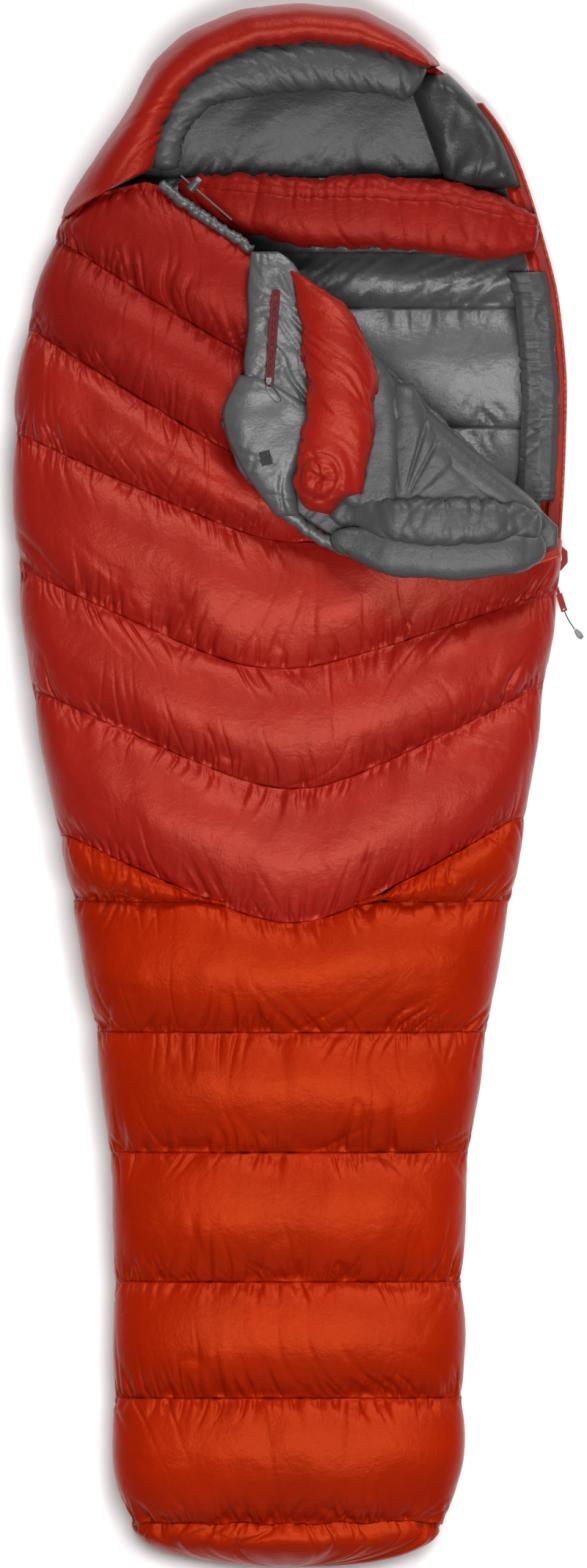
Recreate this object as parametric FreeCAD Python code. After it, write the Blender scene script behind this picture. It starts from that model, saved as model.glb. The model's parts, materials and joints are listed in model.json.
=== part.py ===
"""Mummy sleeping bag, lying on its back on the ground, open at the chest.

Millimetres. +X is the zip side, +Y points to the hood, +Z is up. The origin is on the ground under the
middle of the bag. Every quilted chamber, roll, zip part and fitting is its own solid in its own file.
"""
import FreeCAD
import Part
import math
import os

Vector = FreeCAD.Vector

# ---------------------------------------------------------------- driving dimensions
WALL = 25.0             # thickness of one quilted wall
GAP = 3.0               # room left at a sewn seam between two chambers
SEAM_DIP = 18.0         # how far the loft sinks at a seam across the bag
SIDE_DIP = 5.0          # how far the side draws in at a seam
ROUNDNESS = 2.5         # exponent of the superellipse across the bag
WIDEST_Z = 72.0         # height at which the bag is widest
SIDE_SEAM_Z = 42.0      # lower edge of the top quilt
ZIP_SEAM_Z = 57.0       # lower edge of the top quilt above the closed zip
BACK_EDGE_Z = 36.0      # upper edge of the back quilt
ZIP_BACK_EDGE_Z = 31.0  # upper edge of the back quilt below the closed zip
EDGE_INSET = 12.0       # how far the side seam sits inside the widest line
LOWER_TURN = 110.0      # degrees from the crown line down to the side seam

# plan outline: y, left edge, right edge
OUTLINE = [
    (-1075, -195, 190), (-1036, -230, 220), (-996, -241, 230), (-873, -246, 242), (-711, -242, 237),
    (-549, -246, 241), (-387, -262, 263), (-224, -290, 292), (-62, -321, 322), (100, -353, 345),
    (263, -374, 369), (425, -383, 379), (547, -380, 384), (669, -356, 374), (791, -309, 340),
    (872, -263, 316), (953, -206, 263), (1034, -142, 161), (1075, -16, 48),
]
# loft of the closed bag along its length: y, height
LOFT = [(-1075, 112), (-1031, 128), (-900, 138), (-600, 140), (-250, 152), (100, 156), (280, 150),
        (1075, 150)]
# seams across the top quilt: y at the left edge, x and y of the middle, y at the right edge
V_SEAMS = {
    "shoulder": (761, 0, 570, 700),
    "upper_chest": (639, 0, 427, 640),
    "chest": (492, 10, 328, 497),
    "waist": (304, -20, 155, 272),
    "hip": (137, 5, -11, 143),
    "thigh": (-61, 4, -195, -33),
}
STRAIGHT_SEAMS = {"knee": -163, "shin": -344, "calf": -509, "ankle": -686, "foot": -846, "foot_end": -1028}
V_ROUND = 0.15          # roundness of a V seam's bottom
# the neck edge of the top quilt, from the left cheek to the start of the fold
NECK_EDGE = [(-326, 767), (-291, 791), (-244, 815), (-184, 830), (-172, 826), (-136, 794), (-97, 765),
             (-52, 733), (-20, 708), (60, 640)]
# back quilt: node name and the y of its foot-side seam, from the crown down
BACK_CHAMBERS = [
    ("head", 836), ("neck", 734), ("shoulder", 657), ("upper_chest", 491), ("chest", 329),
    ("waist", 164), ("hip", 0), ("thigh", -165), ("knee", -344), ("shin", -509), ("calf", -686),
    ("ankle", -846), ("foot", -1031),
]
CROWN_Y = 1044.0        # head-side end of the back quilt, inside the hood's crown

# the fold of the turned-back corner: a straight axis over the top quilt
FOLD_START = (380.0, 345.0)
FOLD_END = (-16.0, 720.0)
FOLD_Z = 151.0
FLAP_Z = 153.0          # underside of the folded corner
FLAP_TOP_Z = 168.0      # its upper face, which carries the lining and the rolls

# zips
ZIP_TOP = (358.0, 263.0)    # upper end of the closed zip, on the tape
ZIP_FOOT = (312.0, -62.0)   # its lower end
ZIP_Z = 44.0
TAPE_THICK = 1.2
TAPE_SLIT = 1.4             # half the slit between the two tapes
TAPE_REACH = 11.0           # outer edge of each tape from the zip's middle
ROW_NEAR = 0.9              # one row of coil, from the zip's middle
ROW_FAR = 3.4
POCKET_ZIP_FOOT = (-30.5, 545.0)
POCKET_ZIP_HEAD = (-21.3, 685.0)
POCKET_TOP_Z = 184.0
POCKET_TAPE_RISE = 2.8      # the pocket zip's tape above the pocket's crown

os.makedirs("parts", exist_ok=True)
volumes = {}


# ---------------------------------------------------------------- building tools
def save(node, *solids):
    """Writes one node's solids to its file and notes their volume."""
    shape = solids[0] if len(solids) == 1 else Part.makeCompound(list(solids))
    for solid in solids:
        if not solid.isValid() or solid.Volume <= 0:
            print("bad solid in", node, solid.isValid(), solid.Volume)
    volumes[node] = shape.Volume
    shape.exportStep("parts/" + node + ".step")


def mix(a, b, t):
    return a + (b - a) * t


def along(stations, y, column=1):
    """Straight-line reading of a table of stations at y."""
    if y <= stations[0][0]:
        return stations[0][column]
    for low, high in zip(stations, stations[1:]):
        if y <= high[0]:
            return mix(low[column], high[column], (y - low[0]) / (high[0] - low[0]))
    return stations[-1][column]


def left_edge(y):
    return along(OUTLINE, y, 1)


def right_edge(y):
    return along(OUTLINE, y, 2)


def faceted_solid(points, triangles):
    """A closed solid with flat triangular faces."""
    shape = Part.Shape()
    shape.makeShapeFromMesh((points, triangles), 0.01)
    solid = Part.Solid(Part.Shell(shape.Faces))
    if solid.Volume < 0:
        solid.reverse()
    return solid


def thick_sheet(upper, lower):
    """A sheet with an upper and a lower grid of points, closed all round its border."""
    rows = len(upper)
    columns = len(upper[0])
    points = [p for row in upper for p in row] + [p for row in lower for p in row]
    half = rows * columns
    triangles = []

    def quad(a, b, c, d):
        triangles.append((a, b, c))
        triangles.append((a, c, d))

    for i in range(rows - 1):
        for j in range(columns - 1):
            a = i * columns + j
            b = a + 1
            c = b + columns
            d = a + columns
            quad(a, b, c, d)
            quad(half + a, half + d, half + c, half + b)
    for i in range(rows - 1):
        first = i * columns
        last = first + columns - 1
        quad(first, first + columns, half + first + columns, half + first)
        quad(last + columns, last, half + last, half + last + columns)
    for j in range(columns - 1):
        foot = (rows - 1) * columns + j
        quad(j + 1, j, half + j, half + j + 1)
        quad(foot, foot + 1, half + foot + 1, half + foot)
    return faceted_solid(points, triangles)


def closed_tube(loops, middles):
    """A closed solid through loops of equal count, with a flat fan of faces to a middle at each end."""
    sides = len(loops[0])
    points = [p for loop in loops for p in loop]
    triangles = []
    for i in range(len(loops) - 1):
        for k in range(sides):
            a = i * sides + k
            b = i * sides + (k + 1) % sides
            triangles.append((a, b, b + sides))
            triangles.append((a, b + sides, a + sides))
    for row, place, flip in ((0, middles[0], True), (len(loops) - 1, middles[1], False)):
        points.append(place)
        middle = len(points) - 1
        for k in range(sides):
            a = row * sides + k
            b = row * sides + (k + 1) % sides
            triangles.append((middle, b, a) if flip else (middle, a, b))
    return faceted_solid(points, triangles)


def stuffed_tube(sections, sides=12):
    """A closed tube through (centre, across, up) sections, each an ellipse; both ends are flat."""
    turns = [2 * math.pi * k / sides for k in range(sides)]
    loops = [[centre + across * math.cos(turn) + up * math.sin(turn) for turn in turns]
             for centre, across, up in sections]
    return closed_tube(loops, (sections[0][0], sections[-1][0]))


def ribbon(path, half_width, thickness, across=None):
    """A flat strip along a path of points; across is its width direction, or level if it is left out."""
    upper = []
    lower = []
    for i, here in enumerate(path):
        before = path[max(i - 1, 0)]
        after = path[min(i + 1, len(path) - 1)]
        run = (after - before).normalize()
        side = across if across else run.cross(Vector(0, 0, 1)).normalize()
        lift = side.cross(run).normalize() * (thickness / 2)
        upper.append([here - side * half_width + lift, here + side * half_width + lift])
        lower.append([here - side * half_width - lift, here + side * half_width - lift])
    return thick_sheet(upper, lower)


def pad(first, second, bottom, edge, top):
    """A puffed pad between two plan curves of equal count: flat below, crowned above."""
    shares = (0.0, 0.15, 0.5, 0.85, 1.0)
    crown = (0.0, 0.75, 1.0, 0.75, 0.0)
    upper = []
    lower = []
    last = len(first) - 1
    for i, (a, b) in enumerate(zip(first, second)):
        end = 0.0 if i in (0, last) else 1.0
        upper.append([Vector(mix(a[0], b[0], s), mix(a[1], b[1], s), mix(edge, top, c * end))
                      for s, c in zip(shares, crown)])
        lower.append([Vector(mix(a[0], b[0], s), mix(a[1], b[1], s), bottom) for s in shares])
    return thick_sheet(upper, lower)


CORD_SETBACK = 0.45     # where a cord's bend begins, as a share of the shorter run beside it


def cord_tube(points, diameter, name):
    """A round cord through a route of points: straight runs joined by tangent arcs."""
    edges = []
    start = points[0]
    for before, here, after in zip(points, points[1:], points[2:]):
        back = (before - here).normalize()
        on = (after - here).normalize()
        turn = math.pi - back.getAngle(on)
        shorter = min((before - here).Length, (after - here).Length)
        setback = CORD_SETBACK * shorter
        radius = setback / math.tan(turn / 2)
        print(name, "bend radius", round(radius, 1), "turn", round(math.degrees(turn)))
        arc_in = here + back * setback
        arc_out = here + on * setback
        middle = here + (back + on).normalize() * (radius / math.cos(turn / 2) - radius)
        edges.append(Part.LineSegment(start, arc_in).toShape())
        edges.append(Part.Arc(arc_in, middle, arc_out).toShape())
        start = arc_out
    edges.append(Part.LineSegment(start, points[-1]).toShape())
    wire = Part.Wire(edges)
    length = wire.Length
    circle = Part.Circle(points[0], points[1] - points[0], diameter / 2)
    section = Part.Wire([circle.toShape()])
    tube = wire.makePipeShell([section], True, False)
    share = tube.Volume / (length * circle_area(diameter))
    print(name, "length", round(length, 1), "volume share", round(share, 3))
    return tube


def circle_area(diameter):
    return math.pi * diameter ** 2 / 4


def oriented(shape, place, along_x, along_y):
    """Moves a shape built at the origin so that its own X and Y lie along the given directions."""
    along_z = along_x.cross(along_y)
    turn = FreeCAD.Rotation(along_x, along_y, along_z, "ZXY")
    moved = shape.copy()
    moved.Placement = FreeCAD.Placement(place, turn)
    return moved


# ---------------------------------------------------------------- top quilt
def puff(t):
    """0 at a chamber's two seams, 1 along its middle."""
    return math.sqrt(max(0.0, 4 * t * (1 - t)))


def loft_at(y, t):
    return along(LOFT, y) - SEAM_DIP * (1 - puff(t))


def v_seam(name):
    """The y of a V-shaped seam at a given x."""
    left_y, middle_x, middle_y, right_y = V_SEAMS[name]

    def y_at(x):
        side_y = left_y if x < middle_x else right_y
        side_x = left_edge(side_y) if x < middle_x else right_edge(side_y)
        share = min(1.0, abs((x - middle_x) / (side_x - middle_x)))
        rise = math.sqrt(share ** 2 + V_ROUND ** 2) - V_ROUND
        return mix(middle_y, side_y, rise / (math.sqrt(1 + V_ROUND ** 2) - V_ROUND))
    return y_at


def straight_seam(name):
    return lambda x: STRAIGHT_SEAMS[name]


def neck_edge(x):
    return along(NECK_EDGE, x)


def knee_top(x):
    """The knee chamber starts at its own seam, or at the red quilt's V where that comes lower."""
    return min(v_seam("thigh")(x), STRAIGHT_SEAMS["knee"])


def top_point(turn, t, head, foot, inset, edge_z):
    """A point of the top quilt: turn in degrees from the crown line, t from the head seam to the foot."""
    side = 1 if turn >= 0 else -1
    steep = min(abs(turn), 90.0)
    low = max(0.0, abs(turn) - 90.0) / (LOWER_TURN - 90.0)
    across = math.sin(math.radians(steep)) ** (2 / ROUNDNESS)
    rise = max(0.0, math.cos(math.radians(steep))) ** (2 / ROUNDNESS)
    x = 0.0
    for _ in range(6):
        y = mix(head(x) - GAP / 2, foot(x) + GAP / 2, t)
        middle = (left_edge(y) + right_edge(y)) / 2
        half = (right_edge(y) - left_edge(y)) / 2 - SIDE_DIP * (1 - puff(t)) - inset
        x = middle + side * (half * across - EDGE_INSET * low ** 2)
    top = loft_at(y, t) - inset
    z = WIDEST_Z + (top - WIDEST_Z) * rise
    z = mix(z, edge_z + inset * 0.08, low)
    return Vector(x, y, z)


def fold_distance(x, y):
    """How far a plan point lies on the folded corner's side of the fold axis."""
    run_x = FOLD_END[0] - FOLD_START[0]
    run_y = FOLD_END[1] - FOLD_START[1]
    length = math.hypot(run_x, run_y)
    return -((x - FOLD_START[0]) * run_y - (y - FOLD_START[1]) * run_x) / length


def last_turn(t, head, foot, inset, edge_z, limit):
    """The turn at which a section of the top quilt reaches the fold, or the limit."""
    def beyond(turn):
        p = top_point(turn, t, head, foot, inset, edge_z)
        return fold_distance(p.x, p.y) < GAP
    if not beyond(limit) and not beyond(80.0):
        return limit
    low = -80.0
    high = 80.0
    for _ in range(30):
        middle = (low + high) / 2
        if beyond(middle):
            high = middle
        else:
            low = middle
    return low


# rows of a chamber from its head seam to its foot seam, and the columns of an arch of the top quilt
CHAMBER_ROWS = (0.0, 0.12, 0.35, 0.65, 0.88, 1.0)
ARCH_COLUMNS = 36


def top_chamber(head, foot, first=-LOWER_TURN, last=LOWER_TURN, at_fold=False, zip_side=False):
    """One chamber of the top quilt, an arch between two seams and from one side seam to the other."""
    columns = ARCH_COLUMNS
    upper = []
    lower = []
    right_z = ZIP_SEAM_Z if zip_side else SIDE_SEAM_Z
    for t in CHAMBER_ROWS:
        end = last_turn(t, head, foot, 0.0, right_z, last) if at_fold else last
        turns = [mix(first, end, k / columns) for k in range(columns + 1)]
        edges = [SIDE_SEAM_Z if turn < 0 else right_z for turn in turns]
        upper.append([top_point(turn, t, head, foot, 0.0, z) for turn, z in zip(turns, edges)])
        inner_end = last_turn(t, head, foot, WALL, right_z, last) if at_fold else last
        turns = [mix(first, inner_end, k / columns) for k in range(columns + 1)]
        lower.append([top_point(turn, t, head, foot, WALL, z) for turn, z in zip(turns, edges)])
    return thick_sheet(upper, lower)


def thigh_wedge(first, last):
    return top_chamber(v_seam("thigh"), straight_seam("knee"), first, last, zip_side=True)


def top_quilt():
    chest = v_seam("chest")
    save("front_chamber_neck", top_chamber(neck_edge, v_seam("shoulder"), first=-88.0, at_fold=True))
    save("front_chamber_shoulder", top_chamber(v_seam("shoulder"), v_seam("upper_chest"), at_fold=True))
    save("front_chamber_upper_chest", top_chamber(v_seam("upper_chest"), chest, at_fold=True))
    save("front_chamber_chest", top_chamber(chest, v_seam("waist"), at_fold=True, zip_side=True))
    save("front_chamber_waist", top_chamber(v_seam("waist"), v_seam("hip"), zip_side=True))
    save("front_chamber_hip", top_chamber(v_seam("hip"), v_seam("thigh"), zip_side=True))
    wedge_turn = 20.0
    save("front_chamber_thigh_left", thigh_wedge(-LOWER_TURN, -wedge_turn))
    save("front_chamber_thigh_right", thigh_wedge(wedge_turn, LOWER_TURN))
    save("front_chamber_knee", top_chamber(knee_top, straight_seam("shin")))
    for name, head, foot in (("shin", "shin", "calf"), ("calf", "calf", "ankle"),
                             ("ankle", "ankle", "foot"), ("foot", "foot", "foot_end")):
        save("front_chamber_" + name, top_chamber(straight_seam(head), straight_seam(foot)))


FOOT_SIDES = 24
FOOT_SQUARENESS = 0.65  # exponent of the foot end's rounded section
FOOT_MIDDLE_X = -4.0
FOOT_MIDDLE_Z = 57.0


def foot_end():
    """The closed end of the bag: a shallow pad that rounds off the last chamber."""
    sides = 24
    turns = [2 * math.pi * k / FOOT_SIDES for k in range(FOOT_SIDES)]
    loops = []
    for y, half, low, high in ((-1030, 228, 2, 112), (-1052, 214, 5, 108), (-1066, 196, 16, 98),
                               (-1075, 160, 34, 78)):
        loop = []
        for turn in turns:
            across = math.copysign(abs(math.cos(turn)) ** FOOT_SQUARENESS, math.cos(turn))
            rise = math.copysign(abs(math.sin(turn)) ** FOOT_SQUARENESS, math.sin(turn))
            loop.append(Vector(FOOT_MIDDLE_X + across * half, y, mix(low, high, (1 + rise) / 2)))
        loops.append(loop)
    middles = [Vector(FOOT_MIDDLE_X, y, FOOT_MIDDLE_Z) for y in (-1030, -1075)]
    save("foot_end", closed_tube(loops, middles))


# ---------------------------------------------------------------- back quilt
def back_row(y, t, in_zip, upper):
    """One row of points across the back quilt, on its ground side or on its lining side."""
    edge_z = ZIP_BACK_EDGE_Z if in_zip else BACK_EDGE_Z
    lift = 6.0 * (1 - puff(t))
    reach_left = left_edge(y) + EDGE_INSET + SIDE_DIP * (1 - puff(t))
    reach_right = right_edge(y) - EDGE_INSET - SIDE_DIP * (1 - puff(t))
    if upper:
        profile = [(24, 0.0), (28, -4.0), (44, -9.0), (70, -10.0)]
    else:
        profile = [(0, 0.0), (4, -20.0), (22, -31.0), (58, -36.0)]
    row = []
    for inset, drop in profile:
        z = BACK_EDGE_Z + drop - (lift if upper and inset > 30 else 0.0)
        row.append(Vector(reach_left + inset, y, max(z, 0.0) + (0.0 if upper else lift * (drop < -30))))
    floor_z = WALL + 1.0 - lift if upper else lift
    for share in (0.3, 0.5, 0.7):
        row.append(Vector(mix(reach_left, reach_right, share), y, floor_z))
    for inset, drop in reversed(profile):
        scale = edge_z / BACK_EDGE_Z
        z = (BACK_EDGE_Z + drop) * scale - (lift if upper and inset > 30 else 0.0)
        row.append(Vector(reach_right - inset, y, max(z, 0.0) + (0.0 if upper else lift * (drop < -30))))
    return row


def back_quilt():
    head_y = CROWN_Y
    for name, foot_y in BACK_CHAMBERS:
        in_zip = name in ("chest", "waist", "hip")
        upper = []
        lower = []
        for t in CHAMBER_ROWS:
            y = mix(head_y - GAP / 2, foot_y + GAP / 2, t)
            upper.append(back_row(y, t, in_zip, True))
            lower.append(back_row(y, t, in_zip, False))
        save("back_chamber_" + name, thick_sheet(upper, lower))
        head_y = foot_y


# ---------------------------------------------------------------- hood, collar and facings
# the hood's crown round the head: outer edge and brim in plan, from the left cheek to the zip side
CROWN = [
    ((-322, 774), (-184, 838)), ((-300, 815), (-186, 852)), ((-263, 872), (-185, 876)),
    ((-228, 920), (-166, 920)), ((-190, 990), (-132, 968)), ((-144, 1034), (-90, 996)),
    ((-69, 1066), (-34, 1014)), ((15, 1075), (22, 1017)), ((99, 1066), (80, 1013)),
    ((160, 1034), (134, 1001)), ((212, 992), (184, 982)),
]
# the gathered rim inside the brim: outer and inner edge in plan
RIM = [
    ((-182, 850), (-164, 850)), ((-181, 878), (-158, 882)), ((-162, 920), (-142, 908)),
    ((-129, 964), (-112, 942)), ((-88, 992), (-78, 952)), ((-33, 1010), (-29, 956)),
    ((22, 1013), (24, 957)), ((79, 1009), (84, 957)), ((131, 997), (128, 960)), ((180, 978), (164, 958)),
]
CROWN_TOP_Z = 122.0
CHEEK_BOW = 12.0        # bulge of the crown's seam to the neck, dying out over two stations


def hood():
    upper = []
    lower = []
    for station, ((outer_x, outer_y), (brim_x, brim_y)) in enumerate(CROWN):
        outer = Vector(outer_x, outer_y, 0)
        reach = Vector(brim_x, brim_y, 0) - outer
        length = reach.Length
        reach.normalize()
        bow = CHEEK_BOW * max(0.0, 1 - station / 2)
        bulge = Vector(-reach.y, reach.x, 0)

        def placed(offset, z):
            share = offset / length
            return outer + reach * offset + bulge * (bow * 4 * share * (1 - share)) + Vector(0, 0, z)

        wall = min(WALL, 0.4 * length)
        tuck = min(26.0, 0.45 * length)
        outside = ((tuck, 40), (0, 66), (0.25 * length, 110), (0.6 * length, CROWN_TOP_Z), (length, 112))
        inside = ((tuck + wall, 42), (wall, 68), (0.25 * length + 0.6 * wall, 92),
                  (0.6 * length + 0.15 * wall, CROWN_TOP_Z - 24), (length, 90))
        upper.append([placed(offset, z) for offset, z in outside])
        lower.append([placed(offset, z) for offset, z in inside])
    save("hood_crown", thick_sheet(upper, lower))

    sections = []
    for (outer_x, outer_y), (inner_x, inner_y) in RIM:
        across = Vector(inner_x - outer_x, inner_y - outer_y, 0) / 2
        centre = Vector((outer_x + inner_x) / 2, (outer_y + inner_y) / 2, 88)
        sections.append((centre, across, Vector(0, 0, min(24.0, across.Length + 6))))
    save("hood_rim", stuffed_tube(sections))

    left = [(176, 944), (180, 915), (190, 873), (200, 845)]
    right = [(238, 940), (276, 893), (298, 850), (304, 832)]
    save("hood_side_panel", pad(left, right, 39.0, 44.0, 60.0))


def back_collar():
    sections = []
    for x, y, bottom, radius in ((-158, 821, 31, 7), (-97, 800, 30, 20), (4, 782, 30, 27),
                                 (105, 780, 30, 28), (207, 773, 30, 28), (280, 759, 32, 26),
                                 (330, 748, 40, 15)):
        centre = Vector(x, y, bottom + radius)
        sections.append((centre, Vector(0.12, 1, 0) * radius * 1.35, Vector(0, 0, radius)))
    save("back_neck_collar", stuffed_tube(sections))


def face_binding():
    """The bound edge from the cheek down the neck edge of the top quilt."""
    path = [(-176, 846), (-165, 835), (-128, 801), (-89, 772), (-44, 740)]
    heights = (118, 122, 126, 128, 128)
    save("face_binding", ribbon([Vector(x, y, z) for (x, y), z in zip(path, heights)], 4.0, 3.0))


def mouth_edge_path(inset, z, low, high, step=40.0):
    """Points along the zip side of the open mouth, inset from the outline."""
    count = int(round((high - low) / step))
    return [Vector(right_edge(mix(low, high, k / count)) - inset, mix(low, high, k / count), z)
            for k in range(count + 1)]


def mouth_zip():
    """The back half of the open zip, and the gathered facing beside it."""
    save("back_zip_tape", ribbon(mouth_edge_path(7.5, 39.5, 290, 935), 6.5, TAPE_THICK))
    save("back_zip_coil", ribbon(mouth_edge_path(2.6, 41.7, 290, 935), 1.4, 2.2))
    upper = []
    lower = []
    rows = 8
    for i in range(rows + 1):
        y = mix(388, 706, i / rows)
        edge = right_edge(y)
        upper.append([Vector(edge - inset, y, z)
                      for inset, z in ((72, 44), (62, 50), (44, 53), (26, 50), (17, 44))])
        lower.append([Vector(edge - inset, y, 40.5) for inset in (72, 62, 44, 26, 17)])
    save("zip_facing", thick_sheet(upper, lower))


# ---------------------------------------------------------------- the closed zip and its slider
def zip_run():
    return Vector(ZIP_FOOT[0] - ZIP_TOP[0], ZIP_FOOT[1] - ZIP_TOP[1], 0).normalize()


def zip_out():
    return zip_run().cross(Vector(0, 0, 1)).normalize() * -1


def zip_strip(reach_low, reach_high, near, far):
    """A strip along the closed zip: a range outward from the tape, and a range of height."""
    out = zip_out()
    top = Vector(ZIP_TOP[0], ZIP_TOP[1], ZIP_Z)
    foot = Vector(ZIP_FOOT[0], ZIP_FOOT[1], ZIP_Z)
    upper = []
    lower = []
    for end in (top, foot):
        upper.append([end + out * far + Vector(0, 0, z) for z in (reach_low, reach_high)])
        lower.append([end + out * near + Vector(0, 0, z) for z in (reach_low, reach_high)])
    return thick_sheet(upper, lower)


def closed_zip():
    tapes = [zip_strip(TAPE_SLIT, TAPE_REACH, -TAPE_THICK / 2, TAPE_THICK / 2),
             zip_strip(-TAPE_REACH, -TAPE_SLIT, -TAPE_THICK / 2, TAPE_THICK / 2)]
    save("closed_zip_tapes", *tapes)
    rows = [zip_strip(ROW_NEAR, ROW_FAR, 0.8, 2.8), zip_strip(-ROW_FAR, -ROW_NEAR, 0.8, 2.8)]
    save("closed_zip_coil", *rows)
    stop = Part.makeBox(7, 9, 4.4, Vector(0, -4.5, -0.8))
    stop = stop.makeFillet(0.8, stop.Edges)
    foot = Vector(ZIP_FOOT[0], ZIP_FOOT[1], ZIP_Z) + zip_run() * 0.5
    save("zip_bottom_stop", oriented(stop, foot, zip_run(), zip_run().cross(zip_out()) * -1))


PIN_RADIUS = 0.9        # bar of a slider that its pull swings about
LEG_THICK = 1.2         # thickness of the two legs that hold the bar


def slider_body(length, width, gap_low, gap_high, plate, post, eye, rise):
    """A zip slider: two plates joined by a thin post, and a bar across the outer plate for its pull.

    Its own X runs along the zip, Y lies across the tape and Z points out of it.
    """
    outline_half = width / 2
    nose = 0.68 * outline_half
    corners = [Vector(-length / 2, -outline_half, 0), Vector(0.1 * length, -outline_half, 0),
               Vector(length / 2, -nose, 0), Vector(length / 2, nose, 0),
               Vector(0.1 * length, outline_half, 0), Vector(-length / 2, outline_half, 0)]
    face = Part.Face(Part.makePolygon(corners + corners[:1]))
    outer = face.extrude(Vector(0, 0, plate))
    outer = outer.makeFillet(0.35 * plate, outer.Edges)
    inner = outer.copy()
    outer.translate(Vector(0, 0, gap_high))
    inner.translate(Vector(0, 0, gap_low - plate))
    wedge = Part.makeBox(0.28 * length, post, gap_high - gap_low + plate,
                         Vector(-0.48 * length, -post / 2, gap_low - plate / 2))
    top = gap_high + plate
    leg_half = PIN_RADIUS + 0.3
    pieces = [inner, wedge]
    for low_y in (-eye / 2 - LEG_THICK, eye / 2):
        pieces.append(Part.makeBox(2 * leg_half, LEG_THICK, rise + leg_half + 0.2,
                                   Vector(-leg_half, low_y, top - 0.2)))
    pieces.append(Part.makeCylinder(PIN_RADIUS, eye + 1.0, Vector(0, -eye / 2 - 0.5, top + rise),
                                    Vector(0, 1, 0)))
    return outer.fuse(pieces).removeSplitter()


SLIDER_LENGTH = 15.0
SLIDER_WIDTH = 13.0
SLIDER_PLATE = 2.0
SLIDER_GAP = 3.4        # the outer plate's inner face, from the tape's middle
PULL_EYE = 5.0          # gap between the legs of the slider's bar
PULL_RISE = 2.9         # the bar's height over the outer plate
SLIDER_BACK = 8.5       # the slider's place above the closed zip's upper end


def slider_place(back):
    """A point on the closed zip's line, back from its upper end, at the slider's middle."""
    return Vector(ZIP_TOP[0], ZIP_TOP[1], ZIP_Z) - zip_run() * back


def main_slider():
    body = slider_body(SLIDER_LENGTH, SLIDER_WIDTH, gap_low=-1.4, gap_high=SLIDER_GAP,
                       plate=SLIDER_PLATE, post=0.9, eye=PULL_EYE, rise=PULL_RISE)
    save("main_slider", oriented(body, slider_place(SLIDER_BACK), zip_run(),
                                 zip_run().cross(zip_out()) * -1))


def hinge_of_pull():
    """The middle of the slider's bar, which is parallel to Z, and which the pull tab swings about."""
    return slider_place(SLIDER_BACK) + zip_out() * (SLIDER_GAP + SLIDER_PLATE + PULL_RISE)


# route of the pull's cord: from the tab's tip down to the grip on the ground
PULL_CORD = [Vector(378, 238, 31), Vector(382, 229, 22), Vector(387, 221, 13), Vector(392.5, 213, 7.5)]
PULL_CORD_DIAMETER = 1.8
TAB_THICK = 2.0


def main_pull():
    """The pull tab, its cord and the moulded grip, hanging down beside the bag."""
    pin = hinge_of_pull()
    tip = PULL_CORD[0]
    run = (tip - pin).normalize()
    side = run.cross(Vector(0, 0, 1)).normalize()
    length = (tip - pin).Length
    neck = Part.makeBox(12.0, 4.4, TAB_THICK, Vector(0, -2.2, -TAB_THICK / 2))
    end = Part.makeCylinder(2.2, TAB_THICK, Vector(0, 0, -TAB_THICK / 2))
    blade = Part.makeBox(length - 9.0, 8.6, TAB_THICK, Vector(10.0, -4.3, -TAB_THICK / 2))
    blade = blade.makeFillet(0.9, blade.Edges)
    tab = blade.fuse([neck, end]).removeSplitter()
    cord_hole = Part.makeCylinder(1.3, 12.0, Vector(length - 2.5, 0, -6.0), Vector(0, 0, 1))
    tab = oriented(tab.cut(cord_hole), pin, run, side * -1)
    bar_hole = Part.makeCylinder(PIN_RADIUS + 0.5, 12.0, pin - Vector(0, 0, 6.0), Vector(0, 0, 1))
    save("main_pull_tab", tab.cut(bar_hole))
    start = PULL_CORD[0] + (PULL_CORD[1] - PULL_CORD[0]).normalize() * 1.6
    save("main_pull_cord", cord_tube([start] + PULL_CORD[1:], PULL_CORD_DIAMETER, "pull cord"))
    end = PULL_CORD[-1]
    on = (Vector(402, 202, 5) - end).normalize()
    cross = on.cross(Vector(0, 0, 1)).normalize()
    sections = []
    for step, half, thick in ((1, 1.8, 1.6), (3, 3.0, 2.4), (8, 4.0, 2.8), (13, 4.2, 2.8), (17, 2.6, 1.8)):
        sections.append((end + on * step, cross * half, Vector(0, 0, thick)))
    save("main_pull_grip", stuffed_tube(sections, 16))


def zip_garage():
    """The soft loop that covers the slider's parking place at the end of the fold."""
    path = [Vector(362, 294, 49), Vector(371, 297, 51), Vector(378, 306, 52), Vector(378, 318, 52),
            Vector(368, 327, 50)]
    save("zip_garage", ribbon(path, 4.5, 3.0))


# ---------------------------------------------------------------- the turned-back corner
# lower edge of the corner in plan, from the zip side round its point to the neck
FLAP_EDGE = [(366, 324), (300, 301), (205, 298), (122, 307), (56, 336), (0, 374), (-50, 428), (-82, 508),
             (-60, 560), (-54, 640), (-40, 706)]
FLAP_STEPS = [14, 60, 112, 165, 218, 272, 326, 380, 430, 478, 520]


def fold_point(step, inset):
    """A plan point at a distance along the fold, inset onto the corner."""
    start = Vector(FOLD_START[0], FOLD_START[1], 0)
    run = (Vector(FOLD_END[0], FOLD_END[1], 0) - start).normalize()
    return start + run * step + run.cross(Vector(0, 0, 1)) * -inset


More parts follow.
